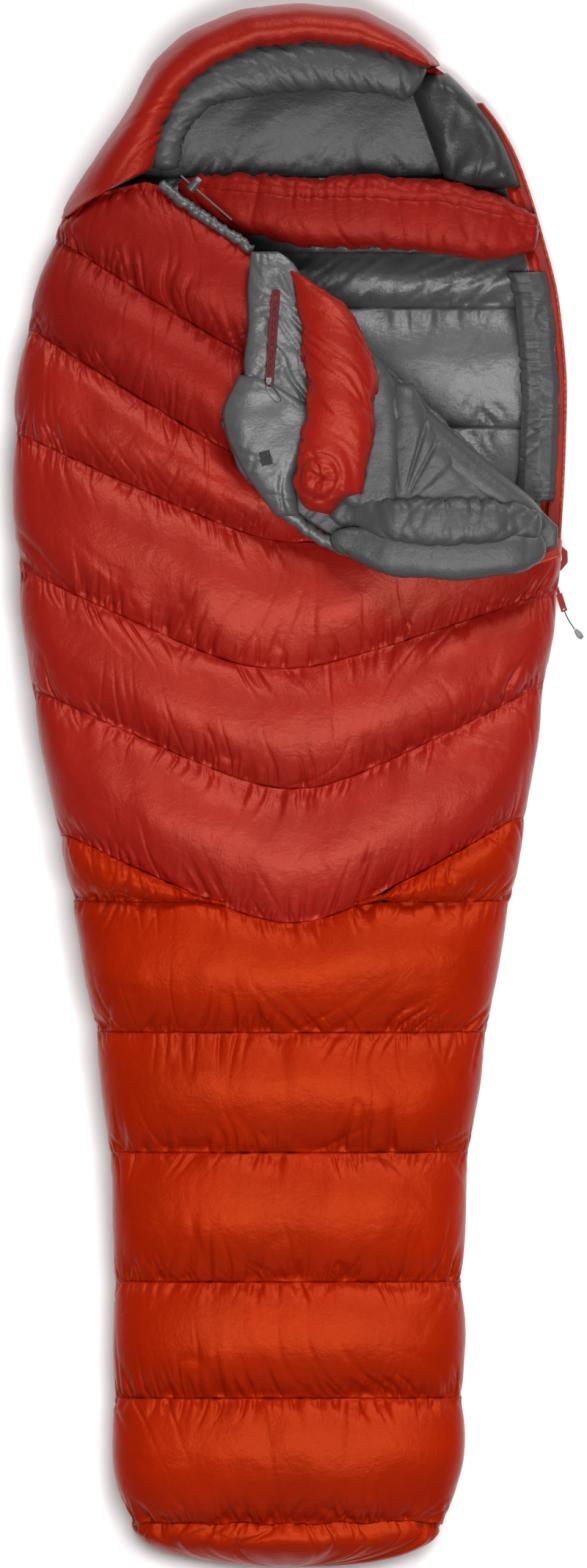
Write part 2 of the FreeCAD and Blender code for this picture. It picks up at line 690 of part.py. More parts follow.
def folded_corner():
    fold = [fold_point(step, 4.0) for step in FLAP_STEPS]
    save("flap_shell", pad([(p.x, p.y) for p in fold], FLAP_EDGE, FLAP_Z, FLAP_Z + 8, FLAP_TOP_Z))
    base = FLAP_TOP_Z + 1.0
    save("flap_lining_outer", pad([(96, 592), (108, 562), (110, 504), (105, 450), (96, 405)],
                                  [(108, 585), (144, 546), (149, 500), (147, 450), (145, 392)],
                                  base, base + 6, base + 18))
    save("flap_lining_inner", pad([(153, 538), (152, 490), (150, 440), (149, 392)],
                                  [(158, 532), (184, 490), (236, 438), (290, 392)],
                                  base, base + 6, base + 18))
    save("flap_corner", pad([(-56, 549), (-82, 506), (-74, 474), (-46, 430), (-6, 386)],
                            [(22, 508), (24, 488), (16, 458), (-10, 432), (-4, 384)],
                            base, base + 6, base + 24))
    save("pocket_panel", pad([(-46, 724), (-52, 677), (-50, 626), (-57, 585), (-56, 556)],
                             [(-26, 718), (-6, 684), (8, 640), (20, 580), (22, 514)],
                             base, base + 4, POCKET_TOP_Z))


def rolls():
    """The stuffed rolls of the corner: the draft tube, the edge roll and the front neck collar."""
    draft = ((76, 377, 10), (136, 364, 19), (207, 359, 21), (288, 362, 20), (338, 356, 12))
    edge = ((70, 343, 9), (136, 321, 16), (217, 315, 17), (305, 323, 16), (352, 336, 9))
    collar = ((-14, 716, 5), (14, 680, 17), (51, 625, 26), (68, 555, 28), (66, 484, 28), (56, 430, 28),
              (45, 396, 26), (40, 378, 16))
    for node, line, stretch in (("flap_draft_tube", draft, 1.0), ("flap_edge_roll", edge, 0.9),
                                ("front_neck_collar", collar, 1.28)):
        sections = []
        for i, (x, y, radius) in enumerate(line):
            before = Vector(line[max(i - 1, 0)][0], line[max(i - 1, 0)][1], 0)
            after = Vector(line[min(i + 1, len(line) - 1)][0], line[min(i + 1, len(line) - 1)][1], 0)
            across = (after - before).normalize().cross(Vector(0, 0, 1))
            centre = Vector(x, y, FLAP_TOP_Z + 1.5 + radius)
            sections.append((centre, across * radius * stretch, Vector(0, 0, radius)))
        save(node, stuffed_tube(sections))


def flap_zip():
    """The front half of the open zip along the corner's edge."""
    edge = [Vector(x, y, FLAP_Z + 3) for x, y in FLAP_EDGE[:8]]
    tape = []
    coil = []
    for i, here in enumerate(edge):
        run = (edge[min(i + 1, len(edge) - 1)] - edge[max(i - 1, 0)]).normalize()
        out = run.cross(Vector(0, 0, 1)) * -1
        tape.append(here + out * 8.0)
        coil.append(here + out * 12.0 + Vector(0, 0, 2.2))
    save("front_zip_tape", ribbon(tape, 6.0, TAPE_THICK))
    save("front_zip_coil", ribbon(coil, 1.4, 2.2))


def pocket_zip():
    """The welded pocket zip, its small slider and the slider's cord loop."""
    foot = Vector(POCKET_ZIP_FOOT[0], POCKET_ZIP_FOOT[1], POCKET_TOP_Z + POCKET_TAPE_RISE)
    head = Vector(POCKET_ZIP_HEAD[0], POCKET_ZIP_HEAD[1], POCKET_TOP_Z + POCKET_TAPE_RISE)
    run = (head - foot).normalize()
    side = run.cross(Vector(0, 0, 1))
    tapes = []
    rows = []
    for sign in (-1, 1):
        shift = side * sign * 3.4
        tapes.append(ribbon([foot - run * 10 + shift, head + run * 8 + shift], 2.4, 1.0))
        shift = side * sign * 1.6 + Vector(0, 0, 1.3)
        rows.append(ribbon([foot - run * 6 + shift, head + run * 4 + shift], 0.8, 1.2))
    save("pocket_zip", *(tapes + rows))
    body = slider_body(length=10.0, width=8.0, gap_low=-0.8, gap_high=2.6, plate=1.4, post=0.8, eye=2.4,
                       rise=1.9)
    save("pocket_slider", oriented(body, foot + run * 6, run * -1, side))


# the pocket pull: a cord loop from one side of the slider's bridge, round its far end and back
POCKET_CORD_DIAMETER = 1.3
POCKET_CORD = [Vector(-31.5, 548.8, 192.2), Vector(-33.4, 545.4, 191.8), Vector(-34.3, 541.0, 191.0),
               Vector(-32.2, 535.5, 190.2), Vector(-27.7, 529.7, 189.9), Vector(-23.2, 524.9, 189.8),
               Vector(-18.6, 521.2, 189.8), Vector(-14.4, 521.8, 189.8), Vector(-13.4, 526.2, 189.8),
               Vector(-16.0, 532.0, 190.0), Vector(-20.2, 538.2, 190.5), Vector(-24.8, 543.6, 191.3),
               Vector(-28.7, 548.8, 192.2)]


def pocket_pull():
    save("pocket_pull_cord", cord_tube(POCKET_CORD, POCKET_CORD_DIAMETER, "pocket cord"))


def hook_and_loop_tab():
    tab = Part.makeBox(15.0, 19.0, 1.6, Vector(-7.5, -9.5, 0))
    tab = tab.makeFillet(0.6, tab.Edges)
    save("hook_and_loop_tab", oriented(tab, Vector(-34, 445, 194.5), Vector(1, 0.25, 0).normalize(),
                                       Vector(-0.25, 1, 0).normalize()))


# ---------------------------------------------------------------- collar drawcord and its lock
DRAWCORD_START = Vector(-151, 836, 100)
DRAWCORD_END = Vector(-81, 775, 100)
DRAWCORD_DIAMETER = 2.6
LOCK_HOLE = 3.6
LOCK_BACK = 22.0        # the lock's place along the drawcord at rest


def collar_drawcord():
    run = (DRAWCORD_END - DRAWCORD_START).normalize()
    length = (DRAWCORD_END - DRAWCORD_START).Length
    save("collar_drawcord", Part.makeCylinder(DRAWCORD_DIAMETER / 2, length, DRAWCORD_START, run))

    centre = DRAWCORD_START + run * LOCK_BACK
    out = Vector(0, 0, 1).cross(run).normalize()
    barrel = Part.makeCylinder(6.5, 17.0, centre - out * 8.0, out)
    barrel = barrel.makeFillet(1.6, barrel.Edges)
    bore = Part.makeCylinder(4.9, 16.0, centre - out * 5.5, out)
    cross_hole = Part.makeCylinder(LOCK_HOLE / 2, 20.0, centre - run * 10.0, run)
    save("cord_lock_barrel", barrel.cut(bore).cut(cross_hole))

    plunger = Part.makeCylinder(4.5, 15.5, centre + out * -1.0, out)
    plunger = plunger.makeFillet(1.2, plunger.Edges)
    slot = Part.makeCylinder(LOCK_HOLE / 2 + 0.2, 20.0, centre - run * 10.0, run)
    travel = Part.makeCylinder(LOCK_HOLE / 2 + 0.2, 20.0, centre - run * 10.0 + out * 4.0, run)
    between = Part.makeBox(20.0, 4.0, LOCK_HOLE + 0.4, Vector(-10.0, 0, -LOCK_HOLE / 2 - 0.2))
    between = oriented(between, centre, run, out)
    save("cord_lock_plunger", plunger.cut(slot.fuse([travel, between])))


top_quilt()
foot_end()
back_quilt()
hood()
back_collar()
face_binding()
mouth_zip()
closed_zip()
main_slider()
main_pull()
zip_garage()
folded_corner()
rolls()
flap_zip()
pocket_zip()
pocket_pull()
hook_and_loop_tab()
collar_drawcord()
print("nodes", len(volumes), "volume m3", round(sum(volumes.values()) / 1e9, 4))
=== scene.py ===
"""Looks of a quilted mummy sleeping bag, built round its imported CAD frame. Lengths are in metres."""
import json
import math

import bpy
import numpy as np
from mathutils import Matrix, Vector
from mathutils.bvhtree import BVHTree


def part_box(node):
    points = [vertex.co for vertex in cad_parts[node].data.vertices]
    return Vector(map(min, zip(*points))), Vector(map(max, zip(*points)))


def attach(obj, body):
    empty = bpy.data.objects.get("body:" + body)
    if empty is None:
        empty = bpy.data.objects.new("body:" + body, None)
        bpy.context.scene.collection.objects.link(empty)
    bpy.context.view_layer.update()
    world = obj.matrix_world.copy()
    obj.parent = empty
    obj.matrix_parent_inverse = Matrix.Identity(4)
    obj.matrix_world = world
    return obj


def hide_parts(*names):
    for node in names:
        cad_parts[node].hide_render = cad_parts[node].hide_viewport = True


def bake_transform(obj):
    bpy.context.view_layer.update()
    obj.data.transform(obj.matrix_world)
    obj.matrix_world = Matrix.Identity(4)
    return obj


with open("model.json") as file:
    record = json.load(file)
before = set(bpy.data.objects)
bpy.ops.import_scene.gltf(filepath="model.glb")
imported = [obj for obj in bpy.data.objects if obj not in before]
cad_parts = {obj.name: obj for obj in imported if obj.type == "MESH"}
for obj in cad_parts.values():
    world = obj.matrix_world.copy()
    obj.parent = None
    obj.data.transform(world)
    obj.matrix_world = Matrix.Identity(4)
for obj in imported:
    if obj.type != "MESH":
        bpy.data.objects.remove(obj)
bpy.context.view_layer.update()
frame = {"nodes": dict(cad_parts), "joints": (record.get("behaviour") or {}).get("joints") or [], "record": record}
nodes = frame["nodes"]

WIDEST_Z = 0.072        # height of the bag's widest line
ROUNDNESS = 2.5         # exponent of the cross-section's superellipse
EDGE_INSET = 0.012      # how far the side seams lie in from the widest line
SIDE_SEAM_Z = 0.042     # height of the side seam
ZIP_SEAM_Z = 0.057      # height of the top quilt's edge beside the zip
LOWER_TURN = 110.0      # the top quilt's reach round each side, in degrees from the top
SEAM_DEPTH = 0.0215     # depth below the skin at which a chamber's end faces are met
SEAM_GAP = 0.0015       # how far a chamber reaches past its node's ends, to meet its neighbour
WALL = 0.025            # thickness of the quilt
END_SEAM_SHIFT = 0.006  # how far the foot end's seam lies up from the frame's, as its quilt swells
FINE_CELL = 0.0022      # spacing of the shell's grid along and beside a seam
COARSE_CELL = 0.0052    # spacing of the shell's grid between its seams
NEAR_SEAM = 0.034       # how far from a seam the grid stays fine

# The seed of each piece's creases. A quilt's chambers count on from theirs by CHAMBER_SEED_STEP.
SEEDS = {"top": 1000, "back": 3000, "foot_cap": 4200, "crown": 5000, "rim": 5200, "back_collar": 5400,
         "draft_tube": 5600, "edge_roll": 5800, "front_collar": 6000, "crest": 6200, "side_panel": 6400,
         "lining_outer": 6500, "lining_inner": 6600, "corner": 6700, "pocket_panel": 6800,
         "flap_shell": 6900, "zip_facing": 7000, "zip_garage": 7100, "neck_binding": 7200,
         "flap_binding": 7300}
CHAMBER_SEED_STEP = 100


def linked(name, data):
    """A new object in the scene."""
    item = bpy.data.objects.new(name, data)
    bpy.context.scene.collection.objects.link(item)
    return item


# ---------------------------------------------------------------- camera, light and floor
def camera():
    data = bpy.data.cameras.new("camera")
    data.type = "PERSP"
    data.sensor_fit = "VERTICAL"
    data.sensor_height = 36.0
    distance = 20.0     # so far up that the bag is seen almost without perspective
    shown = 2.168       # length of floor from the picture's foot to its top
    data.lens = data.sensor_height * distance / shown
    data.clip_end = 60.0
    item = linked("camera", data)
    item.location = (0.004, -0.001, distance)
    bpy.context.scene.camera = item


def area_light(name, place, aim, size, power):
    data = bpy.data.lights.new(name, "AREA")
    data.shape = "RECTANGLE"
    data.size, data.size_y = size
    data.energy = power
    item = linked(name, data)
    item.location = place
    item.rotation_euler = (Vector(aim) - Vector(place)).to_track_quat("-Z", "Y").to_euler()


def sun_light(name, way, power, softness):
    """A wide, even light from a direction."""
    data = bpy.data.lights.new(name, "SUN")
    data.energy = power
    data.angle = softness
    item = linked(name, data)
    item.rotation_euler = Vector(way).to_track_quat("Z", "Y").to_euler()


def studio():
    """A white floor and backdrop, a low sun from beyond the head, and soft lights over body and foot."""
    world = bpy.data.worlds.new("studio")
    world.use_nodes = True
    world.node_tree.nodes["Background"].inputs["Color"].default_value = (1, 1, 1, 1)
    world.node_tree.nodes["Background"].inputs["Strength"].default_value = 0.10
    bpy.context.scene.world = world
    bpy.context.scene.view_settings.view_transform = "Standard"
    sun_light("key", (0.30, 1.0, 0.85), 2.3, 0.42)
    area_light("above", (0.25, -0.35, 3.4), (0, -0.3, 0), (1.2, 2.2), 125)
    area_light("foot", (0.0, -3.1, 2.4), (0, -0.4, 0.1), (2.6, 1.4), 16)
    bpy.ops.mesh.primitive_plane_add(size=30, location=(0, 0, 0))
    floor = bpy.context.object
    floor.name = "floor"
    floor.data.materials.append(plain_material("floor_white", (0.97, 0.97, 0.97), 0.9))


# ---------------------------------------------------------------- materials
def shader(name):
    """A new material, its node tree and its surface node."""
    material = bpy.data.materials.new(name)
    material.use_nodes = True
    tree = material.node_tree
    return material, tree, tree.nodes["Principled BSDF"]


def plain_material(name, colour, roughness):
    material, _, surface = shader(name)
    surface.inputs["Base Color"].default_value = (*colour, 1)
    surface.inputs["Roughness"].default_value = roughness
    return material


def noise_node(tree, scale, detail, roughness=0.5):
    place = tree.nodes.new("ShaderNodeTexCoord")
    noise = tree.nodes.new("ShaderNodeTexNoise")
    noise.inputs["Scale"].default_value = scale
    noise.inputs["Detail"].default_value = detail
    noise.inputs["Roughness"].default_value = roughness
    tree.links.new(place.outputs["Object"], noise.inputs["Vector"])
    return noise


def mottle(tree, surface, scale, detail, colour, dark, light):
    """Colours a surface unevenly, between a darker and a lighter share of its colour."""
    tone = noise_node(tree, scale, detail)
    ramp = tree.nodes.new("ShaderNodeValToRGB")
    for element, position, share in zip(ramp.color_ramp.elements, (0.3, 0.7), (dark, light)):
        element.position = position
        element.color = (*[share * c for c in colour], 1)
    tree.links.new(tone.outputs["Fac"], ramp.inputs["Fac"])
    tree.links.new(ramp.outputs["Color"], surface.inputs["Base Color"])


def bump(tree, surface, layers):
    """Chains bump layers, each a (height output, strength, distance)."""
    before = None
    for height, strength, distance in layers:
        node = tree.nodes.new("ShaderNodeBump")
        node.inputs["Strength"].default_value = strength
        node.inputs["Distance"].default_value = distance
        tree.links.new(height, node.inputs["Height"])
        if before:
            tree.links.new(before, node.inputs["Normal"])
        before = node.outputs["Normal"]
    tree.links.new(before, surface.inputs["Normal"])


def nylon(name, colour, tint, roughness=0.42, specular=0.5):
    """Thin downproof nylon: satin with a dyed sheen, softly crinkled, faintly uneven in tone."""
    material, tree, surface = shader(name)
    mottle(tree, surface, 9.0, 3.0, colour, 0.9, 1.08)
    crinkle = noise_node(tree, 60.0, 6.0, 0.68)
    weave = noise_node(tree, 900.0, 2.0)
    bump(tree, surface, [(crinkle.outputs["Fac"], 0.30, 0.005), (weave.outputs["Fac"], 0.12, 0.0006)])
    surface.inputs["Roughness"].default_value = roughness
    surface.inputs["Specular IOR Level"].default_value = specular
    surface.inputs["Specular Tint"].default_value = (*tint, 1)
    return material


def ribbed(name, colour, roughness, scale, strength=0.6):
    """Woven tape or a coil: fine ribs across, from two crossed waves."""
    material, tree, surface = shader(name)
    place = tree.nodes.new("ShaderNodeTexCoord")
    heights = []
    for direction in ("X", "Y"):
        wave = tree.nodes.new("ShaderNodeTexWave")
        wave.bands_direction = direction
        wave.inputs["Scale"].default_value = scale
        tree.links.new(place.outputs["Object"], wave.inputs["Vector"])
        heights.append((wave.outputs["Fac"], strength, 0.0008))
    mottle(tree, surface, 60.0, 3.0, colour, 0.85, 1.1)
    bump(tree, surface, heights)
    surface.inputs["Roughness"].default_value = roughness
    return material


def worn(name, colour, roughness, metallic=0.0):
    """Moulded plastic or painted metal: a little mottled, with a fine grain."""
    material, tree, surface = shader(name)
    mottle(tree, surface, 120.0, 4.0, colour, 0.8, 1.15)
    grain = noise_node(tree, 700.0, 2.0)
    bump(tree, surface, [(grain.outputs["Fac"], 0.15, 0.0005)])
    surface.inputs["Roughness"].default_value = roughness
    surface.inputs["Metallic"].default_value = metallic
    return material


# Cloth: colour, tint of the sheen, roughness and, where it isn't the usual one, specular level.
NYLONS = {
    "shell_red": ((0.228, 0.0075, 0.0045), (1.0, 0.29, 0.20), 0.36),
    # painted shade: a darker copy of the red shell, with a weaker sheen, for the parts round the neck
    "shell_deep": ((0.185, 0.006, 0.004), (1.0, 0.20, 0.15), 0.38, 0.4),
    "shell_orange": ((0.232, 0.0075, 0.0004), (1.0, 0.17, 0.045), 0.36),
    "lining_grey": ((0.066, 0.066, 0.066), (1.0, 1.0, 1.0), 0.34),
    # painted shade: a darker copy of the grey lining, with a weaker sheen, for linings under the hood and the flap
    "lining_deep": ((0.047, 0.047, 0.047), (1.0, 1.0, 1.0), 0.38, 0.27),
    # painted shade: a still darker copy of the grey lining, with a weaker sheen, for the hood's side panel
    "lining_shade": ((0.026, 0.026, 0.026), (1.0, 1.0, 1.0), 0.36, 0.3),
}
# Tapes, coils and cords: colour, roughness, how close the ribs lie and how strong they are.
RIBBED = {
    "zip_tape_red": ((0.30, 0.022, 0.014), 0.7, 260.0),
    "zip_coil_red": ((0.62, 0.07, 0.03), 0.35, 190.0, 0.9),
    "pocket_zip_red": ((0.11, 0.006, 0.007), 0.45, 190.0),
    "hook_tape_black": ((0.03, 0.03, 0.03), 0.8, 300.0),
    "pull_red": ((0.36, 0.02, 0.018), 0.75, 260.0),
    "cord_dark": ((0.06, 0.06, 0.065), 0.75, 320.0),
    "cord_grey": ((0.15, 0.15, 0.155), 0.75, 320.0),
}
# Moulded and metal parts: colour, roughness and how metallic.
WORN = {
    "zip_metal": ((0.10, 0.10, 0.11), 0.35, 0.7),
    "grip_grey": ((0.17, 0.175, 0.18), 0.5),
    "toggle_black": ((0.045, 0.045, 0.048), 0.45),
    "toggle_grey": ((0.19, 0.19, 0.20), 0.5),
}
MATERIALS = {name: make(name, *looks) for make, table in ((nylon, NYLONS), (ribbed, RIBBED), (worn, WORN))
             for name, looks in table.items()}


# ---------------------------------------------------------------- reading the frame
def tree_of(names):
    """What rays are cast against: the meshes of some nodes, joined."""
    corners = []
    faces = []
    for name in names:
        mesh = nodes[name].data
        base = len(corners)
        corners.extend(v.co.copy() for v in mesh.vertices)
        faces.extend([base + i for i in p.vertices] for p in mesh.polygons)
    return BVHTree.FromPolygons(corners, faces)


def hit(target, origin, direction):
    """Where a ray first meets the target, or None."""
    return target.ray_cast(Vector(origin), Vector(direction).normalized())[0]


def smoothed(values, spread):
    """A Gaussian blur of evenly spaced values, straight on past both ends."""
    reach = max(1, int(3 * spread))
    kernel = np.exp(-0.5 * (np.arange(-reach, reach + 1) / spread) ** 2)
    kernel /= kernel.sum()
    head = 2 * values[0] - values[reach:0:-1]
    tail = 2 * values[-1] - values[-2:-reach - 2:-1]
    return np.convolve(np.concatenate([head, values, tail]), kernel, "valid")


def run_of(points):
    """Distance along a line of points, from its first."""
    return np.concatenate([[0], np.cumsum(np.linalg.norm(np.diff(points, axis=0), axis=1))])


def oval(angle, power):
    """Cosine and sine of an oval outline. The lower the power, the squarer it is."""
    return [np.sign(wave) * np.abs(wave) ** power for wave in (np.cos(angle), np.sin(angle))]


BACK = ["head", "neck", "shoulder", "upper_chest", "chest", "waist", "hip", "thigh", "knee", "shin",
        "calf", "ankle", "foot"]
TOP_RED = ["neck", "shoulder", "upper_chest", "chest", "waist", "hip"]
TOP_ORANGE = ["thigh_left", "thigh_right", "knee", "shin", "calf", "ankle", "foot"]
AT_FOLD = ("neck", "shoulder", "upper_chest", "chest")
ZIP_SIDE = ("chest", "waist", "hip", "thigh_right")
UNDER_COLLAR = ("neck", "shoulder")

LINE_STEP = 0.004
line_y = np.arange(-1.04, 1.045, LINE_STEP)


def read_outline():
    """Left and right edges of the bag's widest line along its length."""
    target = tree_of(["back_chamber_" + name for name in BACK])
    skin = 0.0012       # the back quilt's edge leans in by this much at the height of the rays
    ys = []
    lefts = []
    rights = []
    for name in reversed(BACK):
        low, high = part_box("back_chamber_" + name)
        shares = np.linspace(0.08, 0.97, 10) if name == "head" else (0.32, 0.5, 0.68)
        for share in shares:
            y = low.y + share * (high.y - low.y)
            ys.append(y)
            lefts.append(hit(target, (-1, y, 0.028), (1, 0, 0)).x - EDGE_INSET - skin)
            rights.append(hit(target, (1, y, 0.028), (-1, 0, 0)).x + EDGE_INSET + skin)
    left = smoothed(np.interp(line_y, ys, lefts), 5)
    right = smoothed(np.interp(line_y, ys, rights), 5)
    return left, right


line_left, line_right = read_outline()


def read_loft():
    """Height of the bag's top along its length, over the dips of the seams."""
    target = tree_of(["front_chamber_" + name for name in TOP_RED + TOP_ORANGE])
    tops = []
    side = 0.35         # where the rays fall, as a share of the half width from the middle
    for y, left, right in zip(line_y, line_left, line_right):
        mid = (left + right) / 2
        half = (right - left) / 2
        place = hit(target, (mid - side * half, y, 1), (0, 0, -1))
        tops.append(np.nan if place is None or place.z < 0.08 else place.z)
    tops = np.array(tops)
    known = ~np.isnan(tops)
    tops = np.interp(line_y, line_y[known], tops[known])
    tops = WIDEST_Z + (tops - WIDEST_Z) / (1 - side ** ROUNDNESS) ** (1 / ROUNDNESS)
    window = 11         # half of the run, in steps of LINE_STEP, whose highest place counts
    padded = np.pad(tops, window, mode="edge")
    tops = np.max([padded[i:i + len(tops)] for i in range(2 * window + 1)], axis=0)
    return smoothed(tops, 10)


line_top = read_loft()


def outline(y):
    """Middle, half width and top of the bag at a place along it."""
    left = np.interp(y, line_y, line_left)
    right = np.interp(y, line_y, line_right)
    rounding_from = -0.935      # the foot box narrows from here on
    rounding = 0.023 * np.clip((rounding_from - np.asarray(y)) / 0.093, 0, 1) ** 1.7
    return (left + right) / 2, (right - left) / 2 - rounding, np.interp(y, line_y, line_top)


def section(y, turn, depth=0.0, edge_z=SIDE_SEAM_Z):
    """Points of the top quilt's skin: turn in degrees from the top, depth in from the skin."""
    y, turn, depth = np.broadcast_arrays(np.asarray(y, float), np.asarray(turn, float),
                                         np.asarray(depth, float))
    mid, half, top = outline(y)
    angle = np.radians(np.clip(np.abs(turn), 0, 90))
    power = 2 / ROUNDNESS
    below = np.clip((np.abs(turn) - 90) / (LOWER_TURN - 90), 0, 1.2)
    x = (half - depth) * np.sin(angle) ** power - EDGE_INSET * below
    z = WIDEST_Z + (top - depth - WIDEST_Z) * np.cos(angle) ** power
    z = np.where(np.abs(turn) > 90, WIDEST_Z + (edge_z - WIDEST_Z) * below, z)
    return np.stack([mid + np.sign(turn) * x, y, z], axis=-1)


def skin_normal(y, turn, edge_z):
    """The outward direction of the top quilt's skin."""
    aside = section(y, turn + 0.6, 0.0, edge_z) - section(y, turn - 0.6, 0.0, edge_z)
    ahead = section(y + 0.003, turn, 0.0, edge_z) - section(y - 0.003, turn, 0.0, edge_z)
    normal = np.cross(aside, ahead)
    return normal / np.maximum(np.linalg.norm(normal, axis=-1, keepdims=True), 1e-12)


fold = next(j for j in frame["joints"] if j["name"] == "flap_fold")
FOLD_AT = np.array(fold["pos_m"][:2])
FOLD_RUN = np.array(fold["axis"][:2])
FOLD_OUT = np.array([-FOLD_RUN[1], FOLD_RUN[0]]) * -1


def past_fold(points):
    """Distance of points past the fold line, towards the open mouth."""
    return (points[..., 0] - FOLD_AT[0]) * FOLD_OUT[0] + (points[..., 1] - FOLD_AT[1]) * FOLD_OUT[1]


def read_seam(name, head_side, turns):
    """The y of one end face of a top chamber at each turn; not a number where it has none."""
    target = tree_of([name])
    at_fold = name.replace("front_chamber_", "") in AT_FOLD
    low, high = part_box(name)
    direction = (0, -1 if head_side else 1, 0)
    start = high.y + 0.02 if head_side else low.y - 0.02
    found = []
    for turn in turns:
        best = None
        for guess in np.linspace(low.y, high.y, 14):
            x, _, z = section(guess, turn, SEAM_DEPTH)
            place = hit(target, (x, start, z), direction)
            if place is not None and (best is None or abs(place.y - guess) < best[0]):
                best = (abs(place.y - guess), place.y)
        for _ in range(3):
            if best is None:
                break
            x, _, z = section(best[1], turn, SEAM_DEPTH)
            place = hit(target, (x, start, z), direction)
            if place is not None:
                best = (abs(place.y - best[1]), place.y)
        if at_fold and best is not None and past_fold(np.array([x, best[1]])) > -0.008:
            best = None
        settled = best is not None and best[0] < 0.02
        found.append(best[1] + (SEAM_GAP if head_side else -SEAM_GAP) if settled else np.nan)
    return np.array(found)


# ---------------------------------------------------------------- random folds of cloth
def value_noise(seed, a, b):
    """Smooth noise in -1..1 at the grid places (a, b)."""
    table = np.random.default_rng(seed).uniform(-1, 1, (256, 256))
    ia = np.floor(a).astype(int)
    ib = np.floor(b).astype(int)
    fa = a - ia
    fb = b - ib
    fa = fa * fa * fa * (fa * (fa * 6 - 15) + 10)
    fb = fb * fb * fb * (fb * (fb * 6 - 15) + 10)
    c00 = table[ia % 256, ib % 256]
    c10 = table[(ia + 1) % 256, ib % 256]
    c01 = table[ia % 256, (ib + 1) % 256]
    c11 = table[(ia + 1) % 256, (ib + 1) % 256]
    return (c00 * (1 - fa) + c10 * fa) * (1 - fb) + (c01 * (1 - fa) + c11 * fa) * fb


def creases(seed, along, away, spacing, length, slant=0.0, sharp=0.3):
    """Depth 0..1 of creases that leave a seam: along it, away from it, at a spacing, fading out."""
    away = np.maximum(away, 0)
    wander = value_noise(seed + 1, along / (spacing * 6), away / (spacing * 5)) * 1.4
    lean = slant * value_noise(seed + 2, along / 0.19, away * 0 + 0.5)
    a = along / spacing + lean * away / spacing + wander
    ridge = value_noise(seed, a, away / (spacing * 6.0))
    depth = np.exp(-(ridge / sharp) ** 2)
    reach = length * (0.65 + 0.6 * value_noise(seed + 3, along / (spacing * 3.1), away * 0 + 3.5))
    reach = np.maximum(reach, 0.2 * length)
    group = 0.62 + 0.55 * value_noise(seed + 4, along / 0.11, away * 0 + 7.5)
    return depth * np.exp(-(away / reach) ** 1.6) * np.clip(group, 0.05, 1.0)


# Creases of a quilt's chamber: seed step, at its head seam, spacing, length, slant, sharpness, depth.
SEAM_CREASES = ((0, True, 0.0090, 0.016, 0.4, 0.30, 0.0066),
                (10, True, 0.018, 0.032, 0.9, 0.22, 0.0068),
                (20, False, 0.0092, 0.024, 0.8, 0.30, 0.0076),
                (30, False, 0.019, 0.046, 1.4, 0.20, 0.0078),
                (40, False, 0.040, 0.085, 2.4, 0.13, 0.0028),
                (50, True, 0.052, 0.070, 2.0, 0.13, 0.0028))


def endless_creases(seed, along, over, spacing):
    """Depth 0..1 of creases that run over a whole piece, not from a seam."""
    far = 2.0       # keeps every distance above zero
    length = 9.0    # so long that the creases don't fade
    return creases(seed, along, over + far, spacing, length, 0.0, 0.24)


def quilt_folds(seed, along, from_head, from_foot, scale=1.0):
    """Depth of the small and large creases on a chamber between two seams."""
    fine = 0
    for step, at_head, spacing, length, slant, sharp, depth in SEAM_CREASES:
        away = from_head if at_head else from_foot
        fine = fine + creases(seed + step, along, away, spacing, length, slant, sharp) * depth
    broad = value_noise(seed + 60, along / 0.095, (from_head + 0.3) / 0.060) * 0.0022
    broad += value_noise(seed + 61, along / 0.034, (from_head + 0.3) / 0.050) * 0.0010
    return fine * scale + broad * min(1.0, scale)


def seam_wave(x):
    """How far the gathered foot end's seam wanders along the bag, across it."""
    return 0.0045 * value_noise(88, x / 0.034 + 40, x * 0 + 0.5)


def seam_steps(height):
    """Shares 0..1 across a chamber, closely spaced beside both seams."""
    places = np.linspace(0, 1, 2000)
    gap = np.minimum(places, 1 - places) * height
    density = 1 / np.where(gap < NEAR_SEAM, FINE_CELL, COARSE_CELL)
    run = np.cumsum(density)
    count = max(16, int(height * density.mean()))
    return np.interp(np.linspace(run[0], run[-1], count), run, places)


# ---------------------------------------------------------------- meshes
def mesh_object(name, points, faces, slots, which):
    """A smooth mesh; which says the slot of each face."""
    mesh = bpy.data.meshes.new(name)
    mesh.from_pydata([tuple(p) for p in points], [], faces)
    for slot in slots:
        mesh.materials.append(MATERIALS[slot])
    mesh.polygons.foreach_set("material_index", np.asarray(which, np.int32))
    mesh.polygons.foreach_set("use_smooth", np.ones(len(mesh.polygons), bool))
    mesh.update()
    return linked(name, mesh)


def tube(name, rings, slots, lining_from=None):
    """A closed solid from rings of points. Points of a ring from lining_from on take slot 1."""
    rings = np.asarray(rings, float)
    count, size, _ = rings.shape
    points = list(rings.reshape(-1, 3))
    a = np.arange(count - 1)[:, None] * size + np.arange(size)[None, :]
    b = np.arange(count - 1)[:, None] * size + (np.arange(size)[None, :] + 1) % size
    faces = np.stack([a, b, b + size, a + size], axis=-1).reshape(-1, 4).tolist()
    kind = np.zeros((count - 1, size), int)
    if lining_from is not None:
        kind[:, lining_from:] = 1
    which = kind.reshape(-1).tolist()
    for ring, flip in ((0, True), (count - 1, False)):
        points.append(rings[ring].mean(axis=0))
        middle = len(points) - 1
        for k in range(size):
            first = ring * size + k
            second = ring * size + (k + 1) % size
            faces.append([middle, second, first] if flip else [middle, first, second])
            which.append(0)
    return mesh_object(name, points, faces, slots, which)


def outward(item):
    """Turns a closed mesh's faces outward."""
    mesh = item.data
    volume = 0.0
    for p in mesh.polygons:
        corner = mesh.vertices[p.vertices[0]].co
        volume += corner.dot(p.normal) * p.area
    if volume < 0:
        mesh.flip_normals()
    return item


def place_piece(item, body, node):
    """Turns a piece's faces outward, hangs it on its body and hides the CAD node it stands for."""
    outward(item)
    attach(item, body)
    if node:
        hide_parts(node)
    return item


